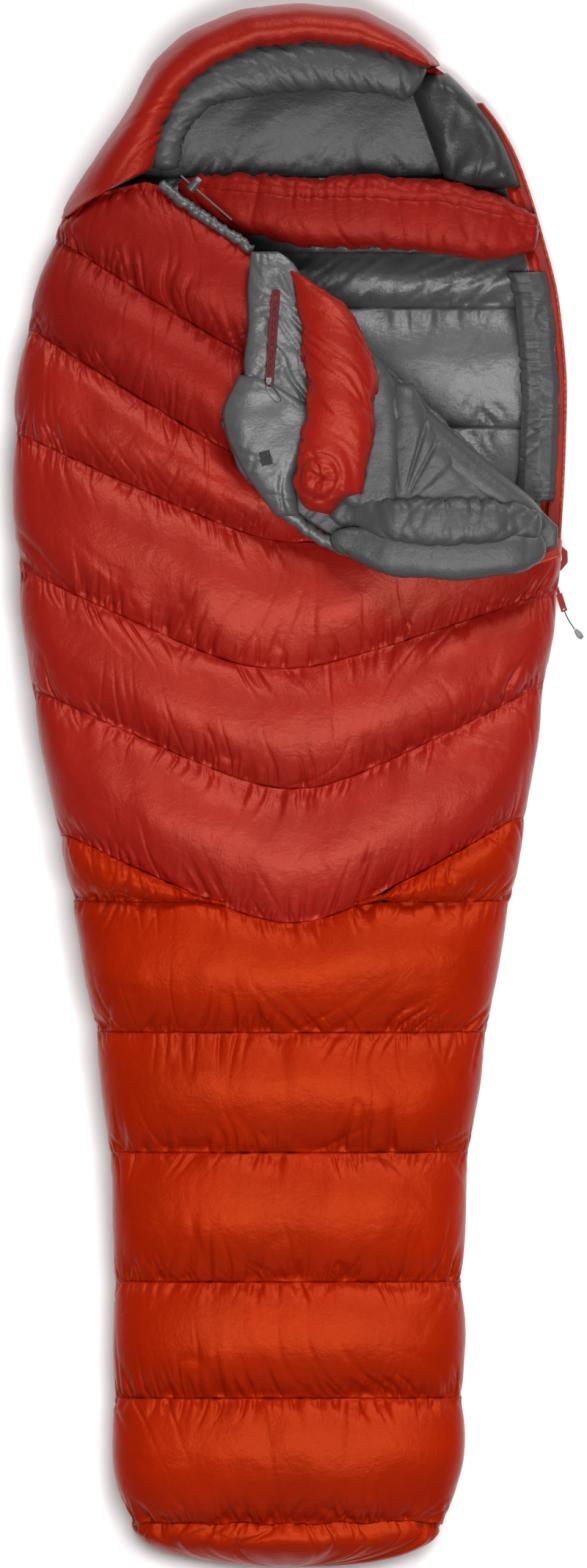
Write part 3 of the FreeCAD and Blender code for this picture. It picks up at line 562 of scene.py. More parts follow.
# ---------------------------------------------------------------- top quilt
def filled(turns, values):
    """Carries a seam line straight on over the turns where the chamber has no face."""
    known = np.where(~np.isnan(values))[0]
    result = np.interp(turns, turns[known], values[known])
    for edge, inner, step in ((known[0], known[4], -1), (known[-1], known[-5], 1)):
        slope = (values[edge] - values[inner]) / (turns[edge] - turns[inner])
        beyond = turns < turns[edge] if step < 0 else turns > turns[edge]
        result = np.where(beyond, values[edge] + slope * (turns - turns[edge]), result)
    return result


edges = {}      # the neck chamber's head seam, kept for the binding that is sewn over it


def under_crest(turn, foot_line, head_line):
    """The y up to which a chamber shows at each turn before the fold's crest covers it."""
    span = np.linspace(0, 1, 160)[None, :]
    low = foot_line[:, None] - 0.01
    y = low + (head_line[:, None] + 0.01 - low) * span
    shown = past_crest(section(y, turn[:, None] + 0 * y, 0.004)) <= 0
    return np.where(shown, y, -9.0).max(axis=1)


def top_chamber(name, seed):
    """A chamber of the top quilt, read between its seams, puffed, creased and closed by its lining."""
    node = "front_chamber_" + name
    slot = "shell_red" if name in TOP_RED else "shell_orange"
    turns = np.linspace(-LOWER_TURN, LOWER_TURN, 89)
    head_line = read_seam(node, True, turns)
    foot_line = read_seam(node, False, turns)
    if name in TOP_RED[:-1]:
        below = TOP_RED[TOP_RED.index(name) + 1]
        shared = read_seam("front_chamber_" + below, True, turns)
        foot_line = np.where(np.isnan(shared), foot_line, shared)
    # Every chamber reaches both side seams, but each thigh wedge ends in a point under the V.
    known = ~(np.isnan(head_line) | np.isnan(foot_line))
    shut = known & (head_line - foot_line > 0.002)
    first = turns[shut][0] if name == "thigh_right" else -LOWER_TURN
    last = turns[shut][-1] if name == "thigh_left" else LOWER_TURN
    head_line = smoothed(filled(turns, head_line), 0.8)
    foot_line = smoothed(filled(turns, foot_line), 0.8)
    if name == "foot":
        foot_line = foot_line + END_SEAM_SHIFT + seam_wave(section(foot_line, turns)[:, 0])
    if name.startswith("thigh"):
        open_turns = turns[head_line - foot_line > 0.001]
        first = open_turns.min() - 7.0 if first > 0 else first
        last = open_turns.max() + 7.0 if last < 0 else last
        middle = (head_line + foot_line) / 2
        head_line = np.maximum(head_line, middle + 0.004)
        foot_line = np.minimum(foot_line, middle - 0.004)
    # Columns stand evenly along the skin, not evenly in turn.
    dense = np.linspace(first, last, 900)
    skin_line = section(np.interp(dense, turns, (head_line + foot_line) / 2), dense)
    run = run_of(skin_line)
    turn = np.interp(np.linspace(0, run[-1], int(run[-1] / FINE_CELL)), run, dense)
    top = np.interp(turn, turns, head_line)
    foot = np.interp(turn, turns, foot_line)
    tall = np.maximum(top - foot, 0.004)
    # Beside the fold a chamber stops where the crest covers it.
    shown = top
    if name in AT_FOLD:
        shown = np.minimum(top, under_crest(turn, foot, top))
        closed = shown - foot < 0.002
        end = np.argmax(closed) if closed.any() else len(turn)
        turn, top, foot, tall, shown = (line[:end] for line in (turn, top, foot, tall, shown))
    shown = np.maximum(shown, foot + 0.002)
    steps = seam_steps(tall.max())[:, None]
    y = shown - (shown - foot) * steps
    turn = turn + 0 * y
    t = np.clip((top - y) / tall, 0, 1)
    wander = 0.0011 * value_noise(seed + 90, turn / 1.7 + 90, turn * 0 + 0.5)
    y = y + wander * (1 - 4 * t * (1 - t))
    by_zip = (name in ZIP_SIDE) & (turn > 0) & (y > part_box("zip_bottom_stop")[0].y)
    edge_z = np.where(by_zip, ZIP_SEAM_Z, SIDE_SEAM_Z - 0.003)
    base = section(y, turn, 0.0, edge_z)
    normal = skin_normal(y, turn, edge_z)
    middle = base[len(steps) // 2]
    along = run_of(middle) + 0 * y
    around = np.clip(np.abs(turn) / 90, 0, 1)
    dip = 0.0020 + 0.0200 * (1 - around ** 3)       # depth of the seams, least at the bag's sides
    plump = np.clip(tall / 0.10, 0.25, 1.0)         # short chambers puff less
    puff = np.sin(np.pi * t) ** 0.70
    if name == "neck":
        dip = dip * np.where(t < 0.5, 0.5, 1.0)
    side = np.clip((np.abs(turn) - 60) / 40, 0, 1)
    depth = dip * plump * (1 - puff) - 0.004 * puff * (1 - 0.6 * side)
    if name.startswith("thigh"):
        depth = depth + 0.015 * np.exp(-tall / 0.014)
    gathered = 1.6 if name == "foot" else 1.15
    folds = quilt_folds(seed, along, tall * t, tall * (1 - t), gathered) * (1 - 0.45 * side)
    folds = folds * np.clip((LOWER_TURN - np.abs(turn)) / 14, 0.1, 1)
    depth = depth + folds * np.clip(puff * 4, 0, 1)
    depth = np.minimum(depth, WALL - 0.0025)
    skin = base - normal * depth[..., None]
    if name == "neck":
        edges["neck"] = base[0] - normal[0] * dip[0, :, None]
    inner = [int(share * (len(steps) - 1)) for share in (0.985, 0.7, 0.3, 0.015)]
    lining = base[inner] - normal[inner] * WALL
    rings = np.concatenate([skin, lining], axis=0).transpose(1, 0, 2)
    inside = slot if name.startswith("thigh") else "lining_grey"
    # the neck and shoulder chambers take a darker copy of the red shell: painted shade
    look = "shell_deep" if name in ("neck", "shoulder") else slot
    item = tube("top_" + name, rings, [look, inside], lining_from=len(steps) - 1)
    return place_piece(item, "bag", node)


def grid_normals(points):
    """The unit normals of a grid of points, on its upper side."""
    across = np.gradient(points, axis=1)
    down = np.gradient(points, axis=0)
    normal = np.cross(down, across)
    size = np.linalg.norm(normal, axis=2, keepdims=True)
    normal = normal / np.maximum(size, 1e-12)
    flip = np.sign(normal[..., 2:3].mean())
    return normal * flip


# ---------------------------------------------------------------- back quilt
def back_rows(y, u, in_zip):
    """Points of the back quilt's ground side and lining side at a place and a share -1..1 across."""
    mid, half, _ = outline(y)
    half = half - EDGE_INSET
    edge = np.where(in_zip & (u > 0), 0.031, 0.041)     # height of the side edge
    bend = 0.058                                        # width of the bend up to that edge
    flat = 0.8                                          # share of the width that lies on the ground
    lining_floor = 0.028                                # height of the lining in the middle
    turn = np.clip((np.abs(u) - flat) / 0.2, 0, 1) * np.pi / 2
    ground_x = np.where(np.abs(u) > flat, half - bend + bend * np.sin(turn) ** 0.8,
                        (half - bend) * np.abs(u) / flat)
    ground_z = edge * (1 - np.cos(turn) ** 0.8)
    lining_x = (half - 0.020) * np.abs(u)
    rise = np.clip((np.abs(u) - 0.86) / 0.14, 0, 1)
    lining_z = lining_floor + (edge - lining_floor) * rise * rise
    return (np.stack([mid + np.sign(u) * ground_x, y, ground_z], axis=-1),
            np.stack([mid + np.sign(u) * lining_x, y, lining_z], axis=-1))


def back_chamber(name, seed):
    """A chamber of the back quilt: its ground side and its lining side, joined along its edges."""
    node = "back_chamber_" + name
    low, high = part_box(node)
    top_y = high.y + SEAM_GAP
    low_y = low.y - SEAM_GAP
    tall = top_y - low_y
    in_zip = np.array(name in ("chest", "waist", "hip"))
    seen = name in ("head", "neck", "shoulder", "upper_chest", "chest")
    cell = 0.0045 if seen else 0.010
    width = 2 * outline((top_y + low_y) / 2)[1]
    columns = int(width / cell)
    u = np.linspace(-1, 1, columns)
    rings = []
    rows_low = 18
    rows_high = int(tall / cell)
    sides = []
    for rows, pick in ((rows_low, 0), (rows_high, 1)):
        t = np.linspace(0, 1, rows)[:, None]
        y = top_y - tall * t + 0 * u
        face = back_rows(y, u + 0 * t, in_zip)[pick]
        along = np.concatenate([np.zeros((rows, 1)),
                                np.cumsum(np.linalg.norm(np.diff(face, axis=1), axis=2), axis=1)], axis=1)
        puff = np.sin(np.pi * t) ** 0.70
        folds = quilt_folds(seed + 500 * pick, along, tall * t + 0 * u, tall * (1 - t) + 0 * u, 1.1)
        if pick == 1 and name in UNDER_COLLAR:
            slide = along + 0.9 * tall * t
            folds += creases(seed + 700, slide, tall * t + 0 * u, 0.015, 0.110, 1.2, 0.26) * 0.0075
            folds += creases(seed + 720, slide, tall * (1 - t) + 0 * u, 0.026, 0.090, 1.6, 0.20) * 0.0060
        folds = folds * np.clip(puff * 3, 0, 1)
        normal = grid_normals(face)
        if pick == 0:
            normal = -normal
            depth = 0.006 * (1 - puff) + folds * 0.8
            face = face - normal * depth[..., None]
            face[..., 2] = np.maximum(face[..., 2], 0.0)
        else:
            depth = 0.013 * (1 - puff) - 0.006 * puff + folds
            edge_fade = np.clip((1 - np.abs(u)) / 0.04, 0, 1)
            face = face - normal * (depth * edge_fade)[..., None]
        sides.append(face)
    ground, lining = sides
    for c in range(columns):
        rings.append(np.concatenate([ground[:, c], lining[::-1, c]]))
    slot = "shell_red" if name in BACK[:7] else "shell_orange"
    # the head chamber's lining takes a darker copy of the grey lining: painted shade of the hood
    inside = "lining_deep" if name == "head" else "lining_grey"
    item = tube("back_" + name, rings, [slot, inside], lining_from=rows_low)
    return place_piece(item, "bag", node)


def foot_cap():
    """The rounded end that closes the foot box, gathered along its seam."""
    seed = SEEDS["foot_cap"]
    low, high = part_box("foot_end")
    seam_y = high.y + END_SEAM_SHIFT + 0.006
    depth = seam_y - low.y + 0.005
    mid, half, top = outline(seam_y)
    centre_z = 0.058
    angle = np.linspace(-np.pi / 2, 1.5 * np.pi, 560, endpoint=False)
    cos, sin = oval(angle, 2 / ROUNDNESS)
    tall = np.where(sin > 0, top - 0.021 - centre_z, centre_z)
    seam = np.stack([(half - 0.001) * cos, tall * sin], -1)
    along = run_of(seam)
    steps = 44
    rings = []
    for share in np.linspace(0, 0.995, steps):
        lift = share * np.pi / 2
        from_seam = 0 * along + depth * 1.25 * math.sin(lift)
        folds = quilt_folds(seed, along, from_seam, 0 * along + 0.5, 2.8)
        folds += creases(seed + 90, along, from_seam, 0.026, 0.085, 1.0, 0.28) * 0.013
        folds = folds * min(1.0, 3 * (1 - share)) * (0.35 + 0.65 * min(1.0, 8 * share))
        swell = (0.005 + 0.012 * np.abs(sin)) * math.sin(min(1.0, 3 * share) * np.pi / 2)
        size = math.cos(lift) ** 0.85
        radius = np.maximum(np.hypot(seam[:, 0], seam[:, 1]), 0.01)
        ring = seam * (size + (swell * size - folds) / radius)[:, None]
        y = seam_y - depth * math.sin(lift) + folds * math.sin(lift)
        y = y + seam_wave(mid + seam[:, 0]) * np.clip(sin * 2, 0, 1) * math.cos(lift)
        rings.append(np.stack([mid + ring[:, 0], y, np.maximum(centre_z + ring[:, 1], 0.0)], -1))
    item = tube("foot_end_cap", rings, ["shell_orange"])
    place_piece(item, "bag", "foot_end")


# ---------------------------------------------------------------- curves and rolls
def spline(points, count):
    """Evenly spaced samples of a smooth curve through points."""
    points = np.asarray(points, float)
    knots = run_of(points)
    slopes = np.gradient(points, knots, axis=0)
    fine = np.linspace(0, knots[-1], 12 * len(points))
    index = np.clip(np.searchsorted(knots, fine, side="right") - 1, 0, len(points) - 2)
    width = (knots[index + 1] - knots[index])[:, None]
    t = (fine[:, None] - knots[index][:, None]) / width
    curve = ((2 * t ** 3 - 3 * t ** 2 + 1) * points[index] + (t ** 3 - 2 * t ** 2 + t) * width * slopes[index]
             + (-2 * t ** 3 + 3 * t ** 2) * points[index + 1] + (t ** 3 - t ** 2) * width * slopes[index + 1])
    run = run_of(curve)
    even = np.linspace(0, run[-1], count)
    return np.stack([np.interp(even, run, curve[:, k]) for k in range(points.shape[1])], axis=-1)


def read_roll(node, axis, count=26):
    """Centre, half width and half height along a stuffed roll that runs mainly along one plan axis."""
    target = tree_of([node])
    low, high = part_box(node)
    side = 1 - axis
    rows = []
    for place in np.linspace(low[axis] + 0.004, high[axis] - 0.004, count):
        level = low.z + 0.012
        row = None
        for _ in range(3):
            near = [0, 0, level]
            near[axis] = place
            far = list(near)
            near[side] = -1.0
            far[side] = 1.0
            way = [0, 0, 0]
            way[side] = 1
            a = hit(target, near, way)
            b = hit(target, far, [-c for c in way])
            if a is None or b is None:
                break
            mid = [0, 0, 0]
            mid[axis] = place
            mid[side] = (a[side] + b[side]) / 2
            top = hit(target, (mid[0], mid[1], 1), (0, 0, -1))
            bottom = hit(target, (mid[0], mid[1], -1), (0, 0, 1))
            if top is None or bottom is None:
                break
            level = (top.z + bottom.z) / 2
            row = [mid[0], mid[1], level, (b[side] - a[side]) / 2, (top.z - bottom.z) / 2]
        if row:
            rows.append(row)
    rows = np.array(rows)
    for k in range(1, 5):
        rows[:, k] = smoothed(rows[:, k], 0.8)
    slope = np.gradient(rows[:, side], rows[:, axis])
    rows[:, 3] *= np.cos(np.arctan(slope))
    return rows


def roll_piece(name, rows, slot, body, node, seed, stitched=(), cell=0.0030, ends=(0.012, 0.012),
               squareness=2.3, swell=0.002, stretch=1.0, scale=1.0, girth=1.0, drawn=None,
               look=None, wrinkles=()):
    """A stuffed roll: an oval tube along its read line, gathered at its base and its stitched lines.

    Ends longer than 0.06 taper to a point; girth scales the creases that cross the whole roll;
    drawn is the (x, y, reach) of a drawn-in end with creases round it; each of wrinkles is
    (spacing, slant, depth) of creases that run slanting over the whole roll."""
    length = np.linalg.norm(np.diff(rows[:, :3], axis=0), axis=1).sum()
    line = spline(rows, int(length / cell))
    count = len(line)
    centre = line[:, :3]
    run = np.gradient(centre, axis=0)
    run[:, 2] = 0
    run /= np.linalg.norm(run, axis=1, keepdims=True)
    across = np.stack([run[:, 1], -run[:, 0], 0 * run[:, 0]], axis=-1)
    s = np.linspace(0, length, count)
    rounding = np.ones(count)
    for distance, radius in ((s, ends[0]), (length - s, ends[1])):
        share = np.clip(distance / max(radius, 1e-4), 0, 1)
        taper = np.sin(share * np.pi / 2) ** 0.8 if radius > 0.06 else (1 - (1 - share) ** 2.2) ** 0.5
        rounding *= taper * 0.97 + 0.03
    around = int(np.pi * 2 * line[:, 3:5].max() * stretch / cell) // 2 * 2
    angle = np.linspace(0, 2 * np.pi, around, endpoint=False)
    cos, sin = oval(angle, 2 / squareness)
    half = (line[:, 3] * stretch + swell)[:, None] * rounding[:, None]
    tall = (line[:, 4] + swell)[:, None] * rounding[:, None]
    radius = (half + tall) / 2
    along = s[:, None] + 0 * angle
    turn = np.where(angle > np.pi * 1.5, angle - 2 * np.pi, angle)
    from_right = np.maximum(turn + 0.35, 0)[None, :] * radius
    from_left = np.maximum(np.pi + 0.35 - turn, 0)[None, :] * radius
    folds = quilt_folds(seed, along, from_right, from_left, scale)
    wide = np.abs(np.sin(turn / 2 + 0.4))[None, :] * 0.03
    folds += creases(seed + 220, along, wide + 0 * radius, 0.034, 0.08, 2.6, 0.2) * 0.0024 * girth
    for number, (spacing, slant, size) in enumerate(wrinkles):
        over = (turn - np.pi / 2)[None, :] * radius
        folds += endless_creases(seed + 500 + 11 * number, along + slant * over, over, spacing) * size
    for number, place in enumerate(stitched):
        gap = np.abs(turn - place)[None, :] * radius
        folds += 0.0050 * np.exp(-(gap / 0.0045) ** 2)
        folds += creases(seed + 300 + 7 * number, along, gap, 0.0095, 0.014) * 0.0028 * scale
        folds += creases(seed + 340 + 7 * number, along, gap, 0.020, 0.030, 0.9) * 0.0036 * scale
    if drawn:
        places = centre[:, None, :2] + across[:, None, :2] * (half * cos)[..., None]
        offset = places - np.array(drawn[:2])
        away = np.linalg.norm(offset, axis=-1)
        heading = np.arctan2(offset[..., 1], offset[..., 0])
        near = np.exp(-(away / drawn[2]) ** 2) * (np.sin(turn) > 0)
        ridge = value_noise(seed + 400, heading * 2.4 + 20, away / 0.03 + 5)
        folds += near * (0.0060 * np.exp(-(ridge / 0.3) ** 2) + 0.010 * np.exp(-(away / 0.007) ** 2))
        folds += 0.0050 * np.exp(-((away - drawn[2]) / 0.004) ** 2) * (np.sin(turn) > 0)
    folds = folds * rounding[:, None] ** 2
    shrink = 1 - folds / np.maximum(radius, 0.004)
    rings = (centre[:, None, :] + across[:, None, :] * (half * cos * shrink)[..., None]
             + np.array([0, 0, 1.0]) * (tall * sin * shrink)[..., None])
    item = tube(name, rings, [look or slot])
    return place_piece(item, body, node)


# ---------------------------------------------------------------- hood
HOOD_CENTRE = np.array([0.02, 0.86])
CROWN_SEAM_SWEEP = (194.5, 34.6)    # the crown's outer seam round that centre, in degrees
CROWN_BRIM_SWEEP = (187.9, 36.8)    # and its brim
RIM_SWEEP = (185.0, 32.0)           # and the gathered rim
CROWN_SEAM_Z = 0.0665               # height at which the crown's outer wall is read
BRIM_Z = 0.100                      # and its brim
RIM_Z = 0.088                       # and the rim
CROWN_ROWS = 48                     # points over the crown's skin, from its seam to its brim


def polar_edge(target, angles, level, outside):
    """Plan distance from the hood's centre to a wall, met from outside or from the centre."""
    found = []
    for angle in angles:
        way = np.array([math.cos(angle), math.sin(angle)])
        if outside:
            start = HOOD_CENTRE + way * 1.0
            place = hit(target, (*start, level), (*-way, 0))
        else:
            place = hit(target, (*HOOD_CENTRE, level), (*way, 0))
        if place is None:
            found.append(np.nan)
        else:
            found.append(math.hypot(place.x - HOOD_CENTRE[0], place.y - HOOD_CENTRE[1]))
    found = np.array(found)
    known = ~np.isnan(found)
    found = np.interp(np.arange(len(found)), np.where(known)[0], found[known])
    return smoothed(found, 2.5)


def hood_crown():
    """The padded ring over the head, from its seam in the back quilt to its gathered brim."""
    seed = SEEDS["crown"]
    target = tree_of(["hood_crown"])
    count = 170
    outer_angle = np.radians(np.linspace(*CROWN_SEAM_SWEEP, count))
    brim_angle = np.radians(np.linspace(*CROWN_BRIM_SWEEP, count))
    outer_reach = polar_edge(target, outer_angle, CROWN_SEAM_Z, True)
    brim_reach = polar_edge(target, brim_angle, BRIM_Z, False)
    outer = HOOD_CENTRE + np.stack([np.cos(outer_angle), np.sin(outer_angle)], -1) * outer_reach[:, None]
    brim = HOOD_CENTRE + np.stack([np.cos(brim_angle), np.sin(brim_angle)], -1) * brim_reach[:, None]
    reach = brim - outer
    length = np.linalg.norm(reach, axis=1)
    way = reach / length[:, None]
    along = run_of(brim)
    total = along[-1]
    rings = []
    for i in range(count):
        size = length[i]
        wall = min(WALL, 0.4 * size)
        tuck = min(0.026, 0.45 * size)
        drop = 0.024 * min(1.0, max(0.0, (outer[i, 1] - 0.96) / 0.06))
        profile = spline([(tuck, 0.036 - drop), (0.003, 0.047 - drop), (-0.002, 0.068 - 0.4 * drop),
                          (0.10 * size, 0.098), (0.32 * size, 0.119), (0.62 * size, 0.126),
                          (0.88 * size, 0.120), (size, 0.108)], CROWN_ROWS)
        lining = spline([(size, 0.094), (0.6 * size, 0.098), (0.25 * size + 0.6 * wall, 0.090),
                         (wall, 0.066), (tuck + wall, 0.044)], 9)
        run = np.gradient(profile, axis=0)
        normal = np.stack([-run[:, 1], run[:, 0]], -1)
        normal /= np.linalg.norm(normal, axis=1, keepdims=True)
        step = run_of(profile)
        from_brim = step[-1] - step
        here = along[i] + 0 * step
        folds = quilt_folds(seed, here, from_brim, step, 1.15)
        side = np.minimum(along[i], total - along[i])
        folds += creases(seed + 80, step, 0 * step + side, 0.012, 0.03, 0.5) * 0.003
        end = 0.006 * math.exp(-side / 0.010)
        profile = profile - normal * (folds + end)[:, None]
        loop = np.concatenate([profile, lining])
        plan = outer[i] + way[i] * loop[:, 0:1]
        rings.append(np.concatenate([plan, loop[:, 1:2]], axis=1))
    item = tube("hood_crown_shell", rings, ["shell_red", "lining_grey"], lining_from=CROWN_ROWS - 1)
    place_piece(item, "bag", "hood_crown")


def hood_rim():
    """The lining's band inside the brim, which the face drawcord gathers."""
    rim = tree_of(["hood_rim"])
    crown = tree_of(["hood_crown"])
    angles = np.radians(np.linspace(*RIM_SWEEP, 34))
    inner = polar_edge(rim, angles, RIM_Z, False) - 0.006
    brim = polar_edge(crown, angles, BRIM_Z, False) + 0.010
    rows = []
    for angle, near, far in zip(angles, inner, brim):
        mid = HOOD_CENTRE + np.array([math.cos(angle), math.sin(angle)]) * (near + far) / 2
        rows.append([mid[0], mid[1], 0.084, (far - near) / 2, min(0.023, (far - near) / 2 + 0.004)])
    # the rim takes a darker copy of the grey lining: painted shade inside the hood
    roll_piece("hood_rim_roll", np.array(rows), "lining_grey", "bag", "hood_rim",
               SEEDS["rim"], girth=0.5, look="lining_deep",
               wrinkles=((0.010, 0.7, 0.0026), (0.019, 1.1, 0.0034)))


# ---------------------------------------------------------------- pieces softened from the frame
def softened(node, slot, body, seed, voxel=0.003, passes=10, folds=(), face_up=None,
             shift=0.0, look=None):
    """A smooth, creased skin over a CAD node. Folds are (direction in plan, spacing, depth)."""
    item = linked(node + "_soft", nodes[node].data.copy())
    remesh = item.modifiers.new("remesh", "REMESH")
    remesh.mode = "VOXEL"
    remesh.voxel_size = voxel
    bpy.context.view_layer.update()
    final = bpy.data.meshes.new_from_object(item.evaluated_get(bpy.context.evaluated_depsgraph_get()))
    item.modifiers.clear()
    item.data = final
    count = len(final.vertices)
    co = np.zeros(count * 3)
    final.vertices.foreach_get("co", co)
    co = co.reshape(-1, 3)
    ends = np.zeros(len(final.edges) * 2, np.int64)
    final.edges.foreach_get("vertices", ends)
    a, b = ends.reshape(-1, 2).T
    valence = np.bincount(a, minlength=count) + np.bincount(b, minlength=count)
    for turn in range(2 * passes):
        pull = np.zeros_like(co)
        np.add.at(pull, a, co[b])
        np.add.at(pull, b, co[a])
        step = 0.62 if turn % 2 == 0 else -0.60
        co = co + (pull / valence[:, None] - co) * step
    final.vertices.foreach_set("co", co.ravel())
    final.update()
    normal = np.array([v.normal for v in final.vertices])
    depth = value_noise(seed + 9, co[:, 0] / 0.05 + 9, co[:, 1] / 0.05 + 9) * 0.0015
    for number, (heading, spacing, size) in enumerate(folds):
        way = np.array([math.cos(math.radians(heading)), math.sin(math.radians(heading))])
        along_fold = co[:, 0] * way[0] + co[:, 1] * way[1]
        over = -co[:, 0] * way[1] + co[:, 1] * way[0]
        ridge = value_noise(seed + number, over / spacing + 20
                            + value_noise(seed + 50 + number, along_fold / 0.06 + 9, over / 0.06 + 9),
                            along_fold / (spacing * 5) + 20)
        patches = value_noise(seed + 70 + number, over / 0.05 + 5, along_fold / 0.05 + 5)
        depth = depth + np.exp(-(ridge / 0.28) ** 2) * np.clip(0.6 + 0.8 * patches, 0, 1) * size
    co = co - normal * depth[:, None]
    co[:, 0] += shift
    final.vertices.foreach_set("co", co.ravel())
    final.polygons.foreach_set("use_smooth", np.ones(len(final.polygons), bool))
    final.materials.clear()
    final.materials.append(MATERIALS[look or slot])
    if face_up:
        final.materials.append(MATERIALS[face_up])
        ups = [1 if p.normal.z > 0.2 else 0 for p in final.polygons]
        final.polygons.foreach_set("material_index", ups)
    final.update()
    return place_piece(item, body, node)


# ---------------------------------------------------------------- cushions between plan lines
def read_lines(node, count=26):
    """Left and right plan edges of a pad, along its length in Y, as arrays of (y, left, right)."""
    target = tree_of([node])
    low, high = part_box(node)
    rows = []
    for y in np.linspace(low.y + 0.001, high.y - 0.001, count):
        a = hit(target, (-1, y, low.z + 0.003), (1, 0, 0))
        b = hit(target, (1, y, low.z + 0.003), (-1, 0, 0))
        if a is not None and b is not None:
            rows.append((y, a.x, b.x))
    rows = np.array(rows)
    rows[:, 1] = smoothed(rows[:, 1], 1.0)
    rows[:, 2] = smoothed(rows[:, 2], 1.0)
    return rows


def cushion(name, rows, low_z, top_z, body, node, seed, grow=(0, 0, 0, 0), scale=1.0, fill=0.6,
            fan=None, plump=0.6, look=None, crossed=()):
    """A stuffed pad: plan lines grown to the left, right, foot and head, domed, gathered at its edges.

    Each of crossed is (heading in degrees, spacing, depth) of creases over the whole pad; fan is the
    (x, y, crowding, depth) of creases that spread from a point; the lower plump, the squarer its edge."""
    slot = "lining_grey"
    cell = 0.0028
    stretch = (rows[-1, 0] - rows[0, 0] + grow[2] + grow[3]) / (rows[-1, 0] - rows[0, 0])
    rows[:, 0] = rows[0, 0] - grow[2] + (rows[:, 0] - rows[0, 0]) * stretch
    ys = np.linspace(rows[0, 0], rows[-1, 0], max(20, int((rows[-1, 0] - rows[0, 0]) / cell)))
    left = np.interp(ys, rows[:, 0], rows[:, 1]) - grow[0]
    right = np.interp(ys, rows[:, 0], rows[:, 2]) + grow[1]
    columns = max(16, int((right - left).max() / cell))
    share = np.linspace(0, 1, columns)[None, :]
    x = left[:, None] + (right - left)[:, None] * share
    y = ys[:, None] + 0 * x
    from_left = x - left[:, None]
    from_right = right[:, None] - x
    from_foot = y - ys[0]
    from_head = ys[-1] - y
    reach = 0.030

    def rounded(distance):
        part = np.clip(distance / reach, 0, 1)
        return np.sqrt(np.maximum(1 - (1 - part) ** 2, 0)) ** plump

    dome = rounded(from_left) * rounded(from_right) * rounded(from_foot) * rounded(from_head)
    broad = value_noise(seed, x / 0.05 + 20, y / 0.05 + 20) * 0.0028
    broad += value_noise(seed + 1, x / 0.022 + 40, y / 0.026 + 40) * 0.0012
    folds = creases(seed + 10, y, from_left, 0.010, 0.020, 0.5) * 0.0034
    folds += creases(seed + 20, y, from_right, 0.010, 0.020, 0.5) * 0.0034
    folds += creases(seed + 30, x, from_foot, 0.011, 0.024, 0.6) * 0.0034
    folds += creases(seed + 40, x, from_head, 0.011, 0.024, 0.6) * 0.0034
    folds += creases(seed + 50, y, from_left, 0.028, 0.060, 1.4, 0.22) * 0.0042
    folds += creases(seed + 60, x, from_foot, 0.030, 0.070, 1.4, 0.22) * 0.0042
    for number, (heading, spacing, size) in enumerate(crossed):
        cos = math.cos(math.radians(heading))
        sin = math.sin(math.radians(heading))
        over = x * cos + y * sin
        folds += endless_creases(seed + 80 + 7 * number, y * cos - x * sin, over, spacing) * size
    if fan:
        dx = x - fan[0]
        dy = y - fan[1]
        away = np.hypot(dx, dy)
        heading = np.arctan2(dy, dx) * fan[2]
        spokes = creases(seed + 70, heading, 0.02 + 0 * away, 0.040, 0.2)
        folds += spokes * fan[3] * np.clip(away / 0.05, 0, 1)
    z = low_z + (top_z - low_z) * dome - (folds * scale + broad) * np.clip(dome * 2, 0, 1) * dome
    top = np.stack([x, y, z], -1)
    under = np.stack([x[:, ::6], y[:, ::6], 0 * x[:, ::6] + low_z - 0.001], -1)
    rings = np.concatenate([top, under[:, ::-1]], axis=1)
    item = tube(name, rings, [look or slot])
    return place_piece(item, body, node)


def flap_pad(node, name, seed, below, above, **looks):
    """A pad of the folded corner, from a little below its node to a little above it."""
    low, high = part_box(node)
    cushion(name, read_lines(node), low.z - below, high.z + above, "front_flap", node, seed, **looks)


def flap_cushions():
    flap_pad("pocket_panel", "pocket_panel_puff", SEEDS["pocket_panel"], 0.001, -0.0005,
             grow=(0.008, 0.026, 0.010, 0.006), scale=1.6, fill=0.4,
             crossed=((-52, 0.009, 0.0030), (-38, 0.016, 0.0040)))
    flap_pad("flap_corner", "corner_puff", SEEDS["corner"], 0.002, -0.003,
             grow=(0.014, 0.016, 0.020, 0.012), scale=1.3, fill=0.8)
    # the two lining pads take a darker copy of the grey lining: painted shade
    flap_pad("flap_lining_outer", "lining_outer_puff", SEEDS["lining_outer"], 0.002, 0.004,
             grow=(0.034, 0.004, 0.030, 0.012), scale=0.9, look="lining_deep")
    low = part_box("flap_lining_inner")[0]
    flap_pad("flap_lining_inner", "lining_inner_puff", SEEDS["lining_inner"], 0.002, 0.004,
             grow=(0.016, 0.014, 0.030, 0.012), scale=0.6, fan=(low.x, low.y - 0.02, 0.20, 0.009),
             plump=0.5, look="lining_deep")


def side_panel():
    """The gathered panel between the hood's lining and the zip."""
    low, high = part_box("hood_side_panel")
    ys = np.linspace(low.y - 0.012, high.y + 0.036, 24)
    mid, half, _ = outline(ys)
    share = (ys - ys[0]) / (ys[-1] - ys[0])
    rows = np.stack([ys, low.x + 0.040 - 0.058 * share, mid + half - 0.009], -1)
    # the panel takes a still darker copy of the grey lining: painted shade inside the hood
    cushion("side_panel_puff", rows, low.z - 0.006, high.z + 0.012, "bag", "hood_side_panel",
            SEEDS["side_panel"], scale=1.6, fan=(low.x + 0.02, low.y - 0.05, 0.13, 0.005),
            look="lining_shade", plump=0.8)


